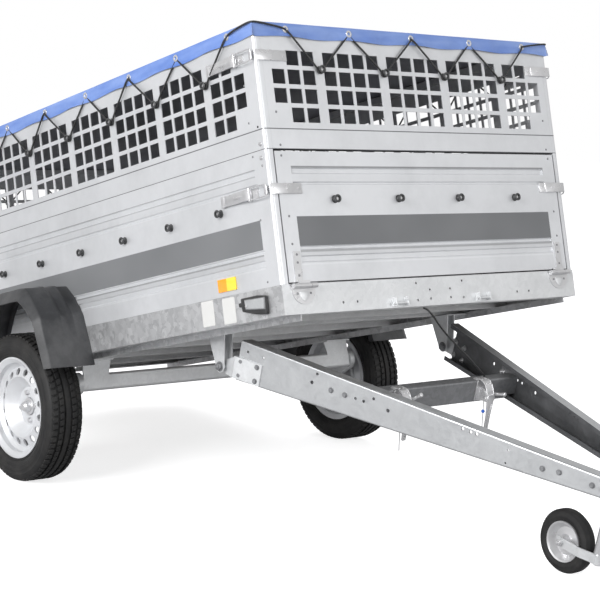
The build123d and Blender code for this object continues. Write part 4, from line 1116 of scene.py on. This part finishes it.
class COVER_OT_cord(bpy.types.Operator):
    """Elastic cord laced between the cover's eyelets and the upper knobs"""

    bl_idname = "trailer.lacing"
    bl_label = "Eyelets and cord"

    def execute(self, context):
        front, side = tie_points()
        section = [
            (0.0052, -0.0014), (0.0110, -0.0010), (0.0116, 0.0006), (0.0108, 0.0016),
            (0.0060, 0.0018), (0.0050, 0.0008),
        ]
        rings = []
        for walls, points in ((("right", "left"), side), (("front", "rear"), front)):
            for along, height in points[::2]:
                rings += [on_face(wall, along, height, 0.0065) for wall in walls]
        eyelets = copies("cover_eyelets", turned("ring", section, "X", 20), rings)
        fit(eyelets, "bed", "Bright zinc")
        runs = []
        for sign in (-1, 1):
            runs += self.lace(side, lambda a, o, z, s=sign: (s * (HALF_WIDTH + o), a, z))
        runs += self.lace(front, lambda a, o, z: (a, -o, z))
        runs += self.lace(front, lambda a, o, z: (a, BED_LENGTH + o, z))
        for sx in (-1, 1):
            for end, sy in ((0.0, -1), (BED_LENGTH, 1)):
                runs.append(self.round_corner(sx, end, sy))
        fit(joined("elastic_cord", runs), "bed", "Cord black")
        return {"FINISHED"}

    def lace(self, points, place):
        """Cord pieces of one wall, from eyelet round a knob to the next eyelet.

        One leg runs over the skirt's outside and the next one under it, in turn.
        """
        made = []
        around = 0.0112  # from the knob's middle to the cord's
        for i in range(0, len(points) - 2, 2):
            start, (knob, knob_z), stop = points[i:i + 3]
            flip = (i // 2) % 2 == 0
            low = knob_z - around
            legs = []
            for (end, end_z), hidden in ((start, not flip), (stop, flip)):
                side = -1 if end < knob else 1
                # distance from the wall at the eyelet, just under it and a fifth of the way down
                outs = (0.0010, 0.0030, 0.0050) if hidden else (0.0020, 0.0125, 0.0115)
                legs.append([
                    (end, outs[0], end_z + 0.001),
                    (end, outs[1], end_z - 0.003),
                    (end * 0.8 + knob * 0.2, outs[2], end_z * 0.8 + knob_z * 0.2 - 0.004),
                    (knob + side * 0.030, 0.0075, knob_z + 0.022),
                    (knob + side * around, 0.0055, knob_z + 0.003),
                    (knob + side * around * 0.8, 0.0055, low + 0.002),
                ])
            path = legs[0] + [(knob, 0.0055, low)] + legs[1][::-1]
            made.append(wire("cord", [place(*point) for point in path], sizes().cord_radius, 2, 4))
        return made

    def round_corner(self, sx, end, sy):
        """Cord from the last eyelet of a side round the corner to the next one."""
        # columns: past the bed's side, past its end, above the eyelets
        table = (
            (0.002, -EYELET_END_Y, 0),
            (0.0125, -0.118, 0.002),
            (0.0120, -0.060, 0.012),
            (0.0115, -0.012, 0.016),
            (0.0060, 0.0060, 0.017),
            (-0.012, 0.0115, 0.016),
            (-0.060, 0.0120, 0.010),
            (EYELET_END_X + 0.005 - HALF_WIDTH, 0.0125, 0.001),
            (EYELET_END_X - HALF_WIDTH, 0.002, 0),
        )
        path = [(sx * (HALF_WIDTH + x), end + sy * y, EYELET_Z + z) for x, y, z in table]
        return wire("cord", path, sizes().cord_radius, 2, 5)


class PANEL_OT_knobs(bpy.types.Operator):
    """Black tie knobs with a hollow head"""

    bl_idname = "trailer.knobs"
    bl_label = "Tie knobs"

    def execute(self, context):
        section = [
            (0.0, 0.0), (0.0125, 0.0), (0.0128, 0.0014), (0.0090, 0.0030), (0.0078, 0.0060),
            (0.0080, 0.0100), (0.0118, 0.0124), (0.0132, 0.0150), (0.0128, 0.0176),
            (0.0108, 0.0192), (0.0082, 0.0194), (0.0070, 0.0168), (0.0066, 0.0130), (0.0, 0.0126),
        ]
        head = [(0.0, 0.0120), (0.0054, 0.0120), (0.0052, 0.0140), (0.0, 0.0152)]
        bed = []
        gates = {"front": [], "rear": []}
        for i in range(8):
            along = BED_LENGTH / 2 + (i - 3.5) * KNOB_PITCH
            for height in (PANEL_KNOB_Z, MESH_KNOB_Z):
                bed += [on_face(wall, along, height, OFF) for wall in ("left", "right")]
        for i in range(4):
            across = (i - 1.5) * KNOB_PITCH
            for wall in ("front", "rear"):
                bed.append(on_face(wall, across, MESH_KNOB_Z, OFF))
                gates[wall].append(on_face(wall, across, PANEL_KNOB_Z, OFF))
        table = (
            ("cord_knobs", "bed", "tie_knobs", bed),
            ("front_panel_knobs", "front_gate_body", "front_gate_knobs", gates["front"]),
            ("rear_panel_knobs", "tail_gate_body", "tail_gate_knobs", gates["rear"]),
        )
        for name, body, stands_for, places in table:
            made = copies(name, turned("knob", section, "X", 18), places)
            fit(made, body, "Knob plastic")
            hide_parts(stands_for)
            screws = copies(f"{name}_screws", turned("screw", head, "X", 14), places)
            fit(screws, body, "Bright zinc")
        return {"FINISHED"}


def side_ends(along, height, out=0.0):
    """The same spot by all four ends of the side walls."""
    ends = (along, BED_LENGTH - along)
    return [on_face(wall, y, height, out) for wall in ("left", "right") for y in ends]


def end_sides(across, height, walls=("front", "rear"), out=0.0):
    """The same spot by both sides of the end walls."""
    return [on_face(wall, side * across, height, out) for wall in walls for side in (-1, 1)]


class CORNER_OT_clasps(bpy.types.Operator):
    """Toggle clasps on the side walls and the straps they pull on"""

    bl_idname = "trailer.clasps"
    bl_label = "Corner clasps"

    def execute(self, context):
        places = []
        # upside down where the clasp's Y axis would point past the corner
        for height in (0.385, 0.803):
            places += [on_face("left", 0, height), on_face("right", 0, height) @ UPSIDE]
            places.append(on_face("left", BED_LENGTH, height) @ UPSIDE)
            places.append(on_face("right", BED_LENGTH, height))
        clasps = copies("toggle_clasps", self.clasp(), places)
        fit(clasps, "bed", "Bright zinc")
        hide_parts("corner_clasps")
        for gate, wall in GATES:
            straps = copies(f"{gate}_straps", self.strap(), self.strap_places(wall, 0.387))
            fit(straps, f"{gate}_body", "Bright zinc")
        places = self.strap_places("front", 0.802) + self.strap_places("rear", 0.802)
        fit(copies("mesh_straps", self.strap(), places), "bed", "Bright zinc")
        return {"FINISHED"}

    def strap_places(self, wall, height):
        """Both ends of an end wall; the strap's Y axis points to the wall's middle."""
        edge = -HALF_WIDTH if wall == "front" else HALF_WIDTH
        return [on_face(wall, edge, height), on_face(wall, -edge, height) @ UPSIDE]

    def clasp(self):
        """Clasp by a corner: X out from the wall, Y from the corner, Z up."""
        # outlines as (out from the wall, distance from the corner)
        lever = [
            (0.0045, 0.090), (0.0150, 0.088), (0.0190, 0.100), (0.0185, 0.115), (0.0125, 0.160),
            (0.0085, 0.239), (0.0050, 0.239), (0.0075, 0.158), (0.0125, 0.112), (0.0120, 0.101),
        ]
        hook = [
            (0.0003, 0.030), (0.0003, 0.008), (0.016, 0.008), (0.016, 0.0105), (0.004, 0.0115),
            (0.004, 0.030),
        ]
        loop = [
            (0.012, 0.093, 0.0185), (0.014, 0.060, 0.0185), (0.015, 0.015, 0.0185),
            (0.014, 0.0065, 0.0165), (0.0135, 0.005, 0.010),
        ]
        loop += [(x, y, -z) for x, y, z in reversed(loop)]
        made = [
            block("base", (OFF, 0.060, -0.015), (0.0035, 0.200, 0.015), 0.0012),
            outline("lever", [(x, y, -0.017) for x, y in lever], (0, 0, 0.034), 0.0012),
            block("rib", (0.0100, 0.112, -0.004), (0.0180, 0.170, 0.004), 0.0025),
            block("grip", (0.0060, 0.225, -0.0185), (0.0110, 0.241, 0.0185), 0.0020),
            outline("hook", [(x, y, -0.0125) for x, y in hook], (0, 0, 0.025), 0.0009),
            drum("pin", (0.012, 0.093, 0), 0.0055, 0.042, "Z", 18, 0.0010),
            wire("loop", loop, 0.0022, 3, 6),
        ]
        made += [moved(rivet(0.0035), at(0.0035, y, 0)) for y in (0.072, 0.188)]
        return joined("clasp", made)

    def strap(self):
        """Strap over a corner with its doubler; X out from the wall, Y from the corner."""
        made = [
            block("strap", (0.0032, -0.0055, -0.0165), (0.0062, 0.092, 0.0165), 0.0010),
            block("doubler", (0.0005, 0.030, -0.0165), (0.0032, 0.120, 0.0165), 0.0008),
        ]
        for x, y in ((0.0062, 0.0595), (0.0032, 0.1065)):
            made.append(moved(rivet(sizes().rivet_radius), at(x, y, 0)))
        return joined("strap", made)


HINGE_X = 0.582  # middle of a gate's hinge, from the bed's middle


class CORNER_OT_rivets(bpy.types.Operator):
    """Rivets and small bolts of the walls, gates and hinges"""

    bl_idname = "trailer.rivets"
    bl_label = "Rivets"

    def execute(self, context):
        radius = sizes().rivet_radius
        bed = end_sides(0.607, 0.626) + end_sides(0.605, 0.523)
        # distance from the bed's end, height
        rows = ((0.067, 0.110), (0.067, 0.301), (0.069, 0.498), (0.069, 0.603), (0.071, 0.720))
        for along, height in rows + ((0.028, 0.463),):
            bed += side_ends(along, height)
        for offset in (-0.0265, 0.0265):
            bed += end_sides(HINGE_X + offset, 0.063, out=0.003)
        fit(copies("wall_rivets", rivet(radius), bed), "bed", "Dull zinc with painted shade")
        for gate, wall in GATES:
            places = []
            for across, height in ((0.607, 0.490), (0.604, 0.302), (0.604, 0.216)):
                places += end_sides(across, height, (wall,))
            for height in (0.183, 0.158, 0.118):
                places += end_sides(0.594, height, (wall,), 0.0033)
            made = copies(f"{gate}_rivets", rivet(radius), places)
            fit(made, f"{gate}_body", "Dull zinc with painted shade")
        # outline of a hinge pad: distance from its middle, height
        shape = [(-0.0185, 0.0690), (0.0185, 0.0690), (0.0190, 0.0600), (0.0130, 0.0470)]
        shape += [(0.0050, 0.0390), (-0.0050, 0.0390), (-0.0130, 0.0470), (-0.0190, 0.0600)]
        pads = []
        for y, out in ((-0.0030, -1), (BED_LENGTH + 0.0030, 1)):
            for side in (-1, 1):
                points = [(side * HINGE_X + across, y, z) for across, z in shape]
                pads.append(outline("pad", points, (0, out * 0.0014, 0), 0.0006))
        fit(joined("hinge_pads", pads), "bed", "Galvanised steel")
        heads = side_ends(0.025, 0.529) + side_ends(0.028, 0.487)
        fit(copies("mesh_bolts", bolt(0.0055, 0.0040), heads), "bed", "Bright zinc")
        # black discs by the corner posts: painted shade of the holes there
        hole_shade = drum("hole_shade", (0.0004, 0, 0), 0.0036, 0.0008, "X", 14)
        hole_shades = copies("corner_hole_shades", hole_shade, side_ends(0.028, 0.583))
        fit(hole_shades, "bed", "Painted hole shade")
        return {"FINISHED"}


def rounded(low, high, corner, steps=4):
    """Points round a rectangle with rounded corners, as (along, height)."""
    points = []
    for sy, sz, start in ((1, 1, 0), (-1, 1, 1), (-1, -1, 2), (1, -1, 3)):
        middle_y = (high[0] if sy > 0 else low[0]) - sy * corner
        middle_z = (high[1] if sz > 0 else low[1]) - sz * corner
        for i in range(steps + 1):
            angle = (start + i / steps) * pi / 2
            points.append((middle_y + corner * cos(angle), middle_z + corner * sin(angle)))
    return points


class LAMP_OT_front(bpy.types.Operator):
    """Lenses and cable boots of the front marker lamps, and the two blank plates"""

    bl_idname = "trailer.lamps"
    bl_label = "Lamps and plates"

    def execute(self, context):
        # outlines as (along, height)
        shell = (
            (0.196, 0.0755), (0.194, 0.0335), (0.126, 0.0180), (0.074, 0.0125), (0.072, 0.0700),
            (0.116, 0.0760),
        )
        rim = ((0.174, 0.0690), (0.171, 0.0375), (0.076, 0.0285), (0.074, 0.0660))
        glass = ((0.171, 0.0668), (0.168, 0.0400), (0.079, 0.0312), (0.077, 0.0638))
        # columns: name, outline, from, out, rounding, finish
        table = (
            ("front_lamp_housings", shell, OFF, 0.0140, 0.0050, "Lamp rubber"),
            ("front_lamp_rims", rim, 0.0130, 0.0032, 0.0010, "Dull zinc with painted shade"),
            ("front_lamp_lenses", glass, 0.0150, 0.0030, 0.0018, "Clear lens"),
        )
        for name, points, start, depth, rounding, finish in table:
            made = []
            for _, side in SIDES:
                made.append(self.on_side(name, side, points, start, depth, rounding, 3))
            piece = fit(joined(name, made), "bed", finish)
            if name == "front_lamp_housings":
                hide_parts("front_marker_lamps")
        places = [on_face(wall, 0.1635, 0.0480, 0.018) for wall in ("left", "right")]
        screws = copies("front_lamp_screws", bolt(0.0038, 0.0016), places)
        fit(screws, "bed", "Bright zinc")
        boots = []
        for _, side in SIDES:
            low, high = sorted((side * (HALF_WIDTH + OFF), side * (HALF_WIDTH + 0.0110)))
            boots.append(block("boot", (low, 0.192, 0.049), (high, 0.212, 0.063), 0.004))
        fit(joined("front_lamp_boots", boots), "bed", "Lamp rubber")
        ambers = []
        for _, side in SIDES:
            for y in (REFLECTOR_Y, BED_LENGTH - REFLECTOR_Y):
                corners = rounded((y - 0.0465, 0.108), (y + 0.0465, 0.149), 0.003)
                ambers.append(self.on_side("amber", side, corners, OFF, 0.0045, 0.0012, 2))
        reflectors = fit(joined("side_reflectors", ambers), "bed", "Amber marker")
        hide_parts("side_markers")
        plates = []
        for low, high in (((0.353, 0.010), (0.418, 0.0915)), ((0.241, 0.006), (0.306, 0.088))):
            plate = self.on_side("plate", -1, rounded(low, high, 0.004), OFF, 0.0007, 0.0002, 1)
            plates.append(plate)
        fit(joined("blank_plates", plates), "bed", "Blank plate")
        return {"FINISHED"}

    def on_side(self, name, side, points, start, depth, rounding, segments):
        """Plate with this outline on a side wall, from a distance off it outwards."""
        face = [(side * (HALF_WIDTH + start), y, z) for y, z in points]
        return outline(name, face, (side * depth, 0, 0), rounding, segments)


def spread(points, distance):
    """Path moved sideways by a distance, with mitred corners."""
    made = []
    for i, point in enumerate(points):
        before = Vector(points[max(i - 1, 0)])
        after = Vector(points[min(i + 1, len(points) - 1)])
        here = Vector(point)
        ways = [(here - before).normalized(), (after - here).normalized()]
        ways = [way for way in ways if way.length > 0]
        normals = [Vector((-way.y, way.x)) for way in ways]
        middle = sum(normals, Vector((0, 0))).normalized()
        made.append(here + middle * distance / middle.dot(normals[0]))
    return made


def eased(points, reach=0.13):
    """Path with each corner rounded off by five points in place of one, three at the ends."""
    made = []
    last = len(points) - 1
    for i, point in enumerate(points):
        here = Vector(point)
        before = here.lerp(Vector(points[max(i - 1, 0)]), reach)
        after = here.lerp(Vector(points[min(i + 1, last)]), reach)
        for t in (0.0, 0.5, 1.0) if i in (0, last) else (0.0, 0.25, 0.5, 0.75, 1.0):
            made.append(before * (1 - t) ** 2 + here * 2 * t * (1 - t) + after * t * t)
    return made


class GUARD_OT_shells(bpy.types.Operator):
    """Moulded mudguards: soft edges, two raised ribs over the top, a flange on the wall"""

    bl_idname = "trailer.guards"
    bl_label = "Mudguards"
    foot = -0.045  # lowest height of a guard's ends
    # distances from the wall: end of the top, corner and end of the bend, outer rim
    top_end, bend_corner, bend_end, width = 0.167, 0.1765, 0.1800, 0.2005

    def execute(self, context):
        # front half; columns: (distance ahead of the axle, height) of the arch and of its outer
        # rim, share of the ribs' height
        half = (
            ((0.311, -0.045), (0.295, -0.045), 0.0),
            ((0.292, 0.043), (0.274, 0.035), 0.0),
            ((0.285, 0.073), (0.267, 0.063), 0.6),
            ((0.270, 0.140), (0.250, 0.125), 1.0),
            ((0.224, 0.207), (0.203, 0.178), 1.0),
            ((0.175, 0.254), (0.164, 0.209), 1.0),
        )
        paths = []
        for column in (0, 1):
            ahead = [(AXLE_Y - line[column][0], line[column][1]) for line in half]
            behind = [(AXLE_Y + line[column][0], line[column][1]) for line in reversed(half)]
            paths.append(eased(ahead + behind))
        arch, rim = paths
        # eased() makes five points of each one, and three of the first and the last
        rise = [line[2] for line in half + half[::-1] for _ in range(5)][2:-2]
        # columns: distance from the wall, share of the ribs' height
        rows = [(0.0005, 0), (0.040, 0), (0.045, 0.8), (0.048, 1), (0.056, 1), (0.059, 0.8)]
        rows += [(0.064, 0), (0.090, 0), (0.095, 0.8), (0.098, 1), (0.106, 1), (0.109, 0.8)]
        rows += [(0.114, 0), (self.top_end, 0)]
        flange = spread(arch, -0.026)
        ribs = spread(arch, 0.0036)
        for name, side in SIDES:
            wall = side * (HALF_WIDTH + 0.0005)
            lines = [[(wall, point.x, max(point.y, self.foot)) for point in flange]]
            for out, share in rows:
                x = side * (HALF_WIDTH + out)
                raised = zip(arch, ribs, rise)
                points = [start.lerp(rib, share * height) for start, rib, height in raised]
                lines.append([(x, point.x, point.y) for point in points])
            for share in (0.2, 0.4, 0.6, 0.8, 1.0):
                rest = 1 - share
                out = self.top_end * rest ** 2 + self.bend_corner * 2 * share * rest
                x = side * (HALF_WIDTH + out + self.bend_end * share ** 2)
                points = [start.lerp(end, 0.22 * share ** 2) for start, end in zip(arch, rim)]
                lines.append([(x, point.x, point.y) for point in points])
            lines.append([(side * (HALF_WIDTH + self.width), *point) for point in rim])
            shell = self.skin(f"mudguard_shell_{name}", lines)
            fit(shell, "bed", "Guard plastic")
            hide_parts(f"mudguard_{name}")
        return {"FINISHED"}

    def skin(self, name, lines):
        """Sheet through a grid of points, with a wall of its own."""
        clear()
        bpy.ops.mesh.primitive_grid_add(
            x_subdivisions=len(lines[0]) - 1, y_subdivisions=len(lines) - 1, size=1
        )
        piece = bpy.context.object
        piece.name = name
        points = [point for line in lines for point in line]
        for vertex, point in zip(piece.data.vertices, points):
            vertex.co = point
        outwards(piece, True)
        pick(piece)
        wall = piece.modifiers.new("Wall", "SOLIDIFY")
        wall.thickness = 0.0035
        wall.offset = -1
        bpy.ops.object.modifier_apply(modifier=wall.name)
        outwards(piece)
        return smooth(piece, 30)


class BAR_OT_bolts(bpy.types.Operator):
    """Bolts and nuts of the drawbar, its hinge plates and the tilt pivot"""

    bl_idname = "trailer.bolts"
    bl_label = "Drawbar bolts"

    def execute(self, context):
        # distance ahead of the pivot, height, head and nut from the arm's outer face
        table = (
            (0.403, 0.057, 0.0003, -0.0075), (0.453, 0.059, 0.0003, -0.0075),
            (0.066, 0.040, 0.0056, -0.0032), (0.066, -0.008, 0.0056, -0.0032),
            (0.128, 0.040, 0.0056, -0.0032), (0.128, -0.008, 0.0056, -0.0032),
            (1.126, 0.067, 0.0003, -0.0032), (1.177, 0.075, 0.0003, -0.0032),
            (1.280, 0.074, 0.0003, -0.0032),
        )
        heads = []
        nuts = []
        ends = []
        for side in (-1, 1):
            for forward, height, head, nut in table:
                heads.append(on_arm(side, forward, height, head))
                nuts.append(on_arm(side, forward, height, nut) @ INWARDS)
            for x, way in ((0.5365, side), (0.4975, -side)):
                ends.append(at(side * x, 0, 0) @ (Matrix.Identity(4) if way > 0 else INWARDS))
        tops = [at(side * 0.021, -y, 0.1493) @ UP for side in (-1, 1) for y in (1.475, 1.545)]
        # columns: name, bolt, places, finish
        for name, pattern, places, finish in (
            ("drawbar_bolts", (0.0070, 0.0050), heads, "Dull zinc with painted shade"),
            ("drawbar_nuts", (0.0075, 0.0065, 0.004), nuts, "Bright zinc"),
            ("pivot_nuts", (0.0130, 0.0085, 0.003), ends, "Dull zinc with painted shade"),
            ("coupling_bolts", (0.0095, 0.0075), tops, "Bright zinc"),
        ):
            fit(copies(name, bolt(*pattern), places), "drawbar", finish)
        return {"FINISHED"}


class LATCH_OT_levers(bpy.types.Operator):
    """The two tilt latches: arched strap, lever and hook bolt, with their safety wires"""

    bl_idname = "trailer.latches"
    bl_label = "Tilt latches"

    def execute(self, context):
        face = -0.4933  # front face of the crossbeam, from the pivot
        pieces = []
        wires = []
        for side, rise in ((-1, radians(40)), (1, radians(18))):
            x = side * 0.190
            pieces.append(self.latch(x, face, rise))
            start = Vector((x - 0.012, -0.5300, 0.018))
            drop = Vector((0, -0.1994, -0.9799))  # straight down, in the leaning drawbar's axes
            length = 0.105 if side > 0 else 0.130
            path = [start + drop * length * share for share in (0.0, 0.3, 0.65, 1.0)]
            path[1].x += 0.0012
            path[2].x -= 0.0014
            wires.append(wire("safety_wire", path, 0.0013, 2, 5))
            if side > 0:
                self.bead(start + drop * 0.036)
        latches = fit(joined("latch_levers", pieces), "drawbar", "Bright zinc")
        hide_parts("tilt_latches")
        fit(joined("latch_wires", wires), "drawbar", "Dull zinc with painted shade")
        return {"FINISHED"}

    def bead(self, place):
        """Blue bead on a safety wire."""
        clear()
        bpy.ops.mesh.primitive_uv_sphere_add(
            segments=20, ring_count=12, radius=0.0062, location=place
        )
        bead = bpy.context.object
        bead.name = "wire_bead"
        fit(smooth(bead), "drawbar", "Blue bead")

    def latch(self, x, face, rise):
        """One latch on the crossbeam; outlines are (out from its face, height)."""
        arch = [
            (-0.0200, 0.0806), (-0.0040, 0.0835), (0.0120, 0.0840), (0.0240, 0.0805),
            (0.0350, 0.0720), (0.0440, 0.0590), (0.0500, 0.0440), (0.0530, 0.0300),
        ]
        under = [tuple(point) for point in reversed(spread(arch, -0.0032))]
        over = [tuple(point) for point in spread(arch, 0.0014)]
        body = [(-0.004, 0.010), (-0.004, 0.052), (0.020, 0.060), (0.046, 0.043), (0.046, 0.017)]

        def across(name, start, points, depth, rounding, segments=2):
            """Plate that lies across the latch, from a start beside its middle."""
            placed = [(x + start, face - out, z) for out, z in points]
            return outline(name, placed, (depth, 0, 0), rounding, segments)

        axle = (face - 0.046, 0.030)
        made = [
            block("plate", (x - 0.022, face - 0.005, 0.006), (x + 0.022, face, 0.0803), 0.0012),
            block("wrap", (x - 0.022, face - 0.005, 0.0753), (x + 0.022, face + 0.020, 0.0803),
                  0.0012),
            across("strap", -0.0170, arch + under, 0.034, 0.0006, 1),
            across("strap_rim", -0.0178, over + under, 0.0038, 0.0012),
            across("strap_rim", 0.0140, over + under, 0.0038, 0.0012),
            across("body", -0.011, [(out + 0.001, z) for out, z in body], 0.022, 0.0025),
            drum("hub", (x, *axle), 0.0120, 0.036, "X", 32, 0.0020),
            drum("hub_pin", (x, *axle), 0.0062, 0.044, "X", 24, 0.0012),
        ]
        # outlines of the lever and its rib: (across, height)
        blade = [
            (-0.0140, 0.0460), (0.0125, 0.0465), (0.0150, 0.0300), (0.0140, 0.0060),
            (0.0135, -0.0300), (0.0145, -0.0600), (0.0150, -0.0790), (0.0000, -0.0800),
            (-0.0020, -0.0600), (-0.0040, -0.0300), (-0.0090, -0.0020), (-0.0135, 0.0200),
        ]
        rib = [
            (0.0060, 0.0100), (0.0088, 0.0100), (0.0092, -0.0300), (0.0105, -0.0700),
            (0.0048, -0.0700), (0.0020, -0.0300),
        ]
        front = [(x + side, face - 0.0500, z) for side, z in blade]
        made.append(outline("lever", front, (0, -0.0080, 0), 0.0022, 3))
        front = [(x + side, face - 0.0575, z) for side, z in rib]
        made.append(outline("lever_rib", front, (0, -0.0022, 0), 0.0009))
        lean = Matrix.Rotation(radians(35), 4, "X") @ UP
        for side in (-0.0080, 0.0080):
            made.append(moved(rivet(0.0042), at(x + side, face - 0.0080, 0.0840) @ UP))
            made.append(moved(rivet(0.0042), at(x + side, face - 0.0305, 0.0762) @ lean))
        way = Vector((0, -cos(rise), sin(rise)))
        turn = way.to_track_quat("X", "Z").to_matrix().to_4x4()
        rod = [
            drum("hook", (0.0380, 0, 0), 0.0050, 0.076, "X", 20, 0.0010),
            drum("hook_head", (0.0780, 0, 0), 0.0068, 0.010, "X", 20, 0.0018),
            drum("hook_nut", (0.0150, 0, 0), 0.0088, 0.008, "X", 6, 0.0008),
        ]
        made += [moved(piece, at(x + 0.026, face - 0.013, 0.032) @ turn) for piece in rod]
        made += [
            drum("hook_boss", (x + 0.024, face - 0.013, 0.032), 0.0090, 0.018, "X", 24, 0.0015),
            block("hook_seat", (x + 0.015, face - 0.013, 0.024), (x + 0.033, face - 0.004, 0.040),
                  0.0020),
        ]
        return joined("latch", made)


class CABLE_OT_lights(bpy.types.Operator):
    """Lighting cable from the front beam to the left arm and on to a parked plug"""

    bl_idname = "trailer.cable"
    bl_label = "Lighting cable"

    def execute(self, context):
        # the free run: from the front beam's hole, then in the drawbar's axes
        points = [BED @ Vector((-0.0715, 0.014, -0.006)), BED @ Vector((-0.0700, -0.004, -0.008))]
        for place in (
            (0.0, -0.4464, 0.2516), (0.080, -0.4543, 0.1910), (0.155, -0.4640, 0.1370),
            (0.2240, -0.4680, 0.0820),
        ):
            points.append(BAR @ Vector(place))
        free = wire("lighting_cable", points, CABLE_RADIUS, 3, 10)
        free.data.materials.clear()
        free.data.materials.append(FINISHES["Cable black"])
        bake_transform(free)
        path = [
            (0.2240, -0.4680, 0.0820), (0.2360, -0.4680, 0.0600), (0.2950, -0.4680, 0.0300),
            (0.3450, -0.4680, 0.0040), (0.3700, -0.4690, -0.0075), (0.3600, -0.520, -0.0060),
            (0.300, -0.720, 0.0060), (0.212, -1.020, 0.0240), (0.148, -1.236, 0.0370),
            (0.100, -1.400, 0.0480), (0.066, -1.500, 0.0640), (0.062, -1.560, 0.0860),
            (0.066, -1.620, 0.0980),
        ]
        fixed = [wire("arm_cable", path, CABLE_RADIUS, 3, 8)]
        way = Vector((0.004, -0.060, 0.012)).to_track_quat("Z", "X").to_matrix().to_4x4()
        # columns: name, middle, radius, depth, corners, rounding
        for name, middle, radius, depth, count, rounding in (
            ("plug_nut", 0.010, 0.0105, 0.020, 18, 0.002),
            ("plug_body", 0.036, 0.0185, 0.040, 28, 0.003),
            ("plug_collar", 0.059, 0.0215, 0.012, 28, 0.003),
        ):
            piece = drum(name, (0, 0, middle), radius, depth, "Z", count, rounding)
            fixed.append(moved(piece, at(0.066, -1.618, 0.0978) @ way))
        fit(joined("parked_plug", fixed), "drawbar", "Cable black")
        section = [(0.0033, -0.004), (0.0048, -0.004), (0.0048, 0.004), (0.0033, 0.004)]
        along_arm = Matrix.Rotation(ARM_ANGLE, 4, "Z")
        clips = []
        for place in path[6:9]:
            clips.append(moved(turned("clip", section, "Y", 20), at(*place) @ along_arm))
        fit(joined("cable_clips", clips), "drawbar", "Bright zinc")
        return {"FINISHED"}


class JOCKEY_OT_details(bpy.types.Operator):
    """Axle nuts, clamp screw and crank sleeve of the jockey wheel"""

    bl_idname = "trailer.jockey"
    bl_label = "Jockey details"

    def execute(self, context):
        axle = (-1.114, -0.2038)
        ends = [at(-0.0150, *axle) @ INWARDS, at(0.0650, *axle)]
        nuts = copies("jockey_nuts", bolt(0.0088, 0.0080, 0.004), ends)
        fit(nuts, "jockey_fork_body", "Bright zinc")
        x, y, top = 0.025, -1.240, 0.420  # top of the jockey wheel's tube
        sleeve = drum("sleeve", (x, y + 0.104, top + 0.074), 0.0125, 0.068, "Z", 24, 0.003)
        fit(sleeve, "drawbar", "Knob plastic")
        screw = [
            drum("screw", (x - 0.034, y, 0.075), 0.006, 0.034, "X", 18, 0.001),
            drum("handle", (x - 0.048, y, 0.075), 0.0042, 0.090, "Z", 16, 0.002),
            drum("boss", (x - 0.046, y, 0.075), 0.010, 0.014, "X", 20, 0.002),
            drum("tube_ring", (x, y, top - 0.010), 0.0248, 0.010, "Z", 32, 0.001),
        ]
        fit(joined("clamp_screw", screw), "drawbar", "Bright zinc")
        return {"FINISHED"}


class TRAILER_PT_panel(bpy.types.Panel):
    """Pieces of the trailer, one button each"""

    bl_label = "Utility trailer"
    bl_idname = "TRAILER_PT_panel"
    bl_space_type = "VIEW_3D"
    bl_region_type = "UI"
    bl_category = "Trailer"

    def draw(self, context):
        for step in STEPS:
            self.layout.operator(f"trailer.{step}")
        for group in (context.scene.trailer_sizes, context.scene.trailer_colours):
            for name in group.__annotations__:
                self.layout.prop(group, name)


STEPS = (
    "studio", "finish_cad", "tyres", "cover", "lacing", "knobs", "clasps", "rivets", "lamps",
    "guards", "bolts", "latches", "cable", "jockey",
)

CLASSES = (
    TrailerSizes,
    TrailerColours,
    STAGE_OT_studio,
    FINISH_OT_cad,
    WHEEL_OT_tyres,
    COVER_OT_sheet,
    COVER_OT_cord,
    PANEL_OT_knobs,
    CORNER_OT_clasps,
    CORNER_OT_rivets,
    LAMP_OT_front,
    GUARD_OT_shells,
    BAR_OT_bolts,
    LATCH_OT_levers,
    CABLE_OT_lights,
    JOCKEY_OT_details,
    TRAILER_PT_panel,
)


def register():
    for each in CLASSES:
        bpy.utils.register_class(each)
    bpy.types.Scene.trailer_sizes = PointerProperty(type=TrailerSizes)
    bpy.types.Scene.trailer_colours = PointerProperty(type=TrailerColours)


def unregister():
    del bpy.types.Scene.trailer_sizes
    del bpy.types.Scene.trailer_colours
    for each in reversed(CLASSES):
        bpy.utils.unregister_class(each)


def main():
    register()
    for step in STEPS:
        getattr(bpy.ops.trailer, step)()
    clear()


if __name__ == "__main__":
    main()
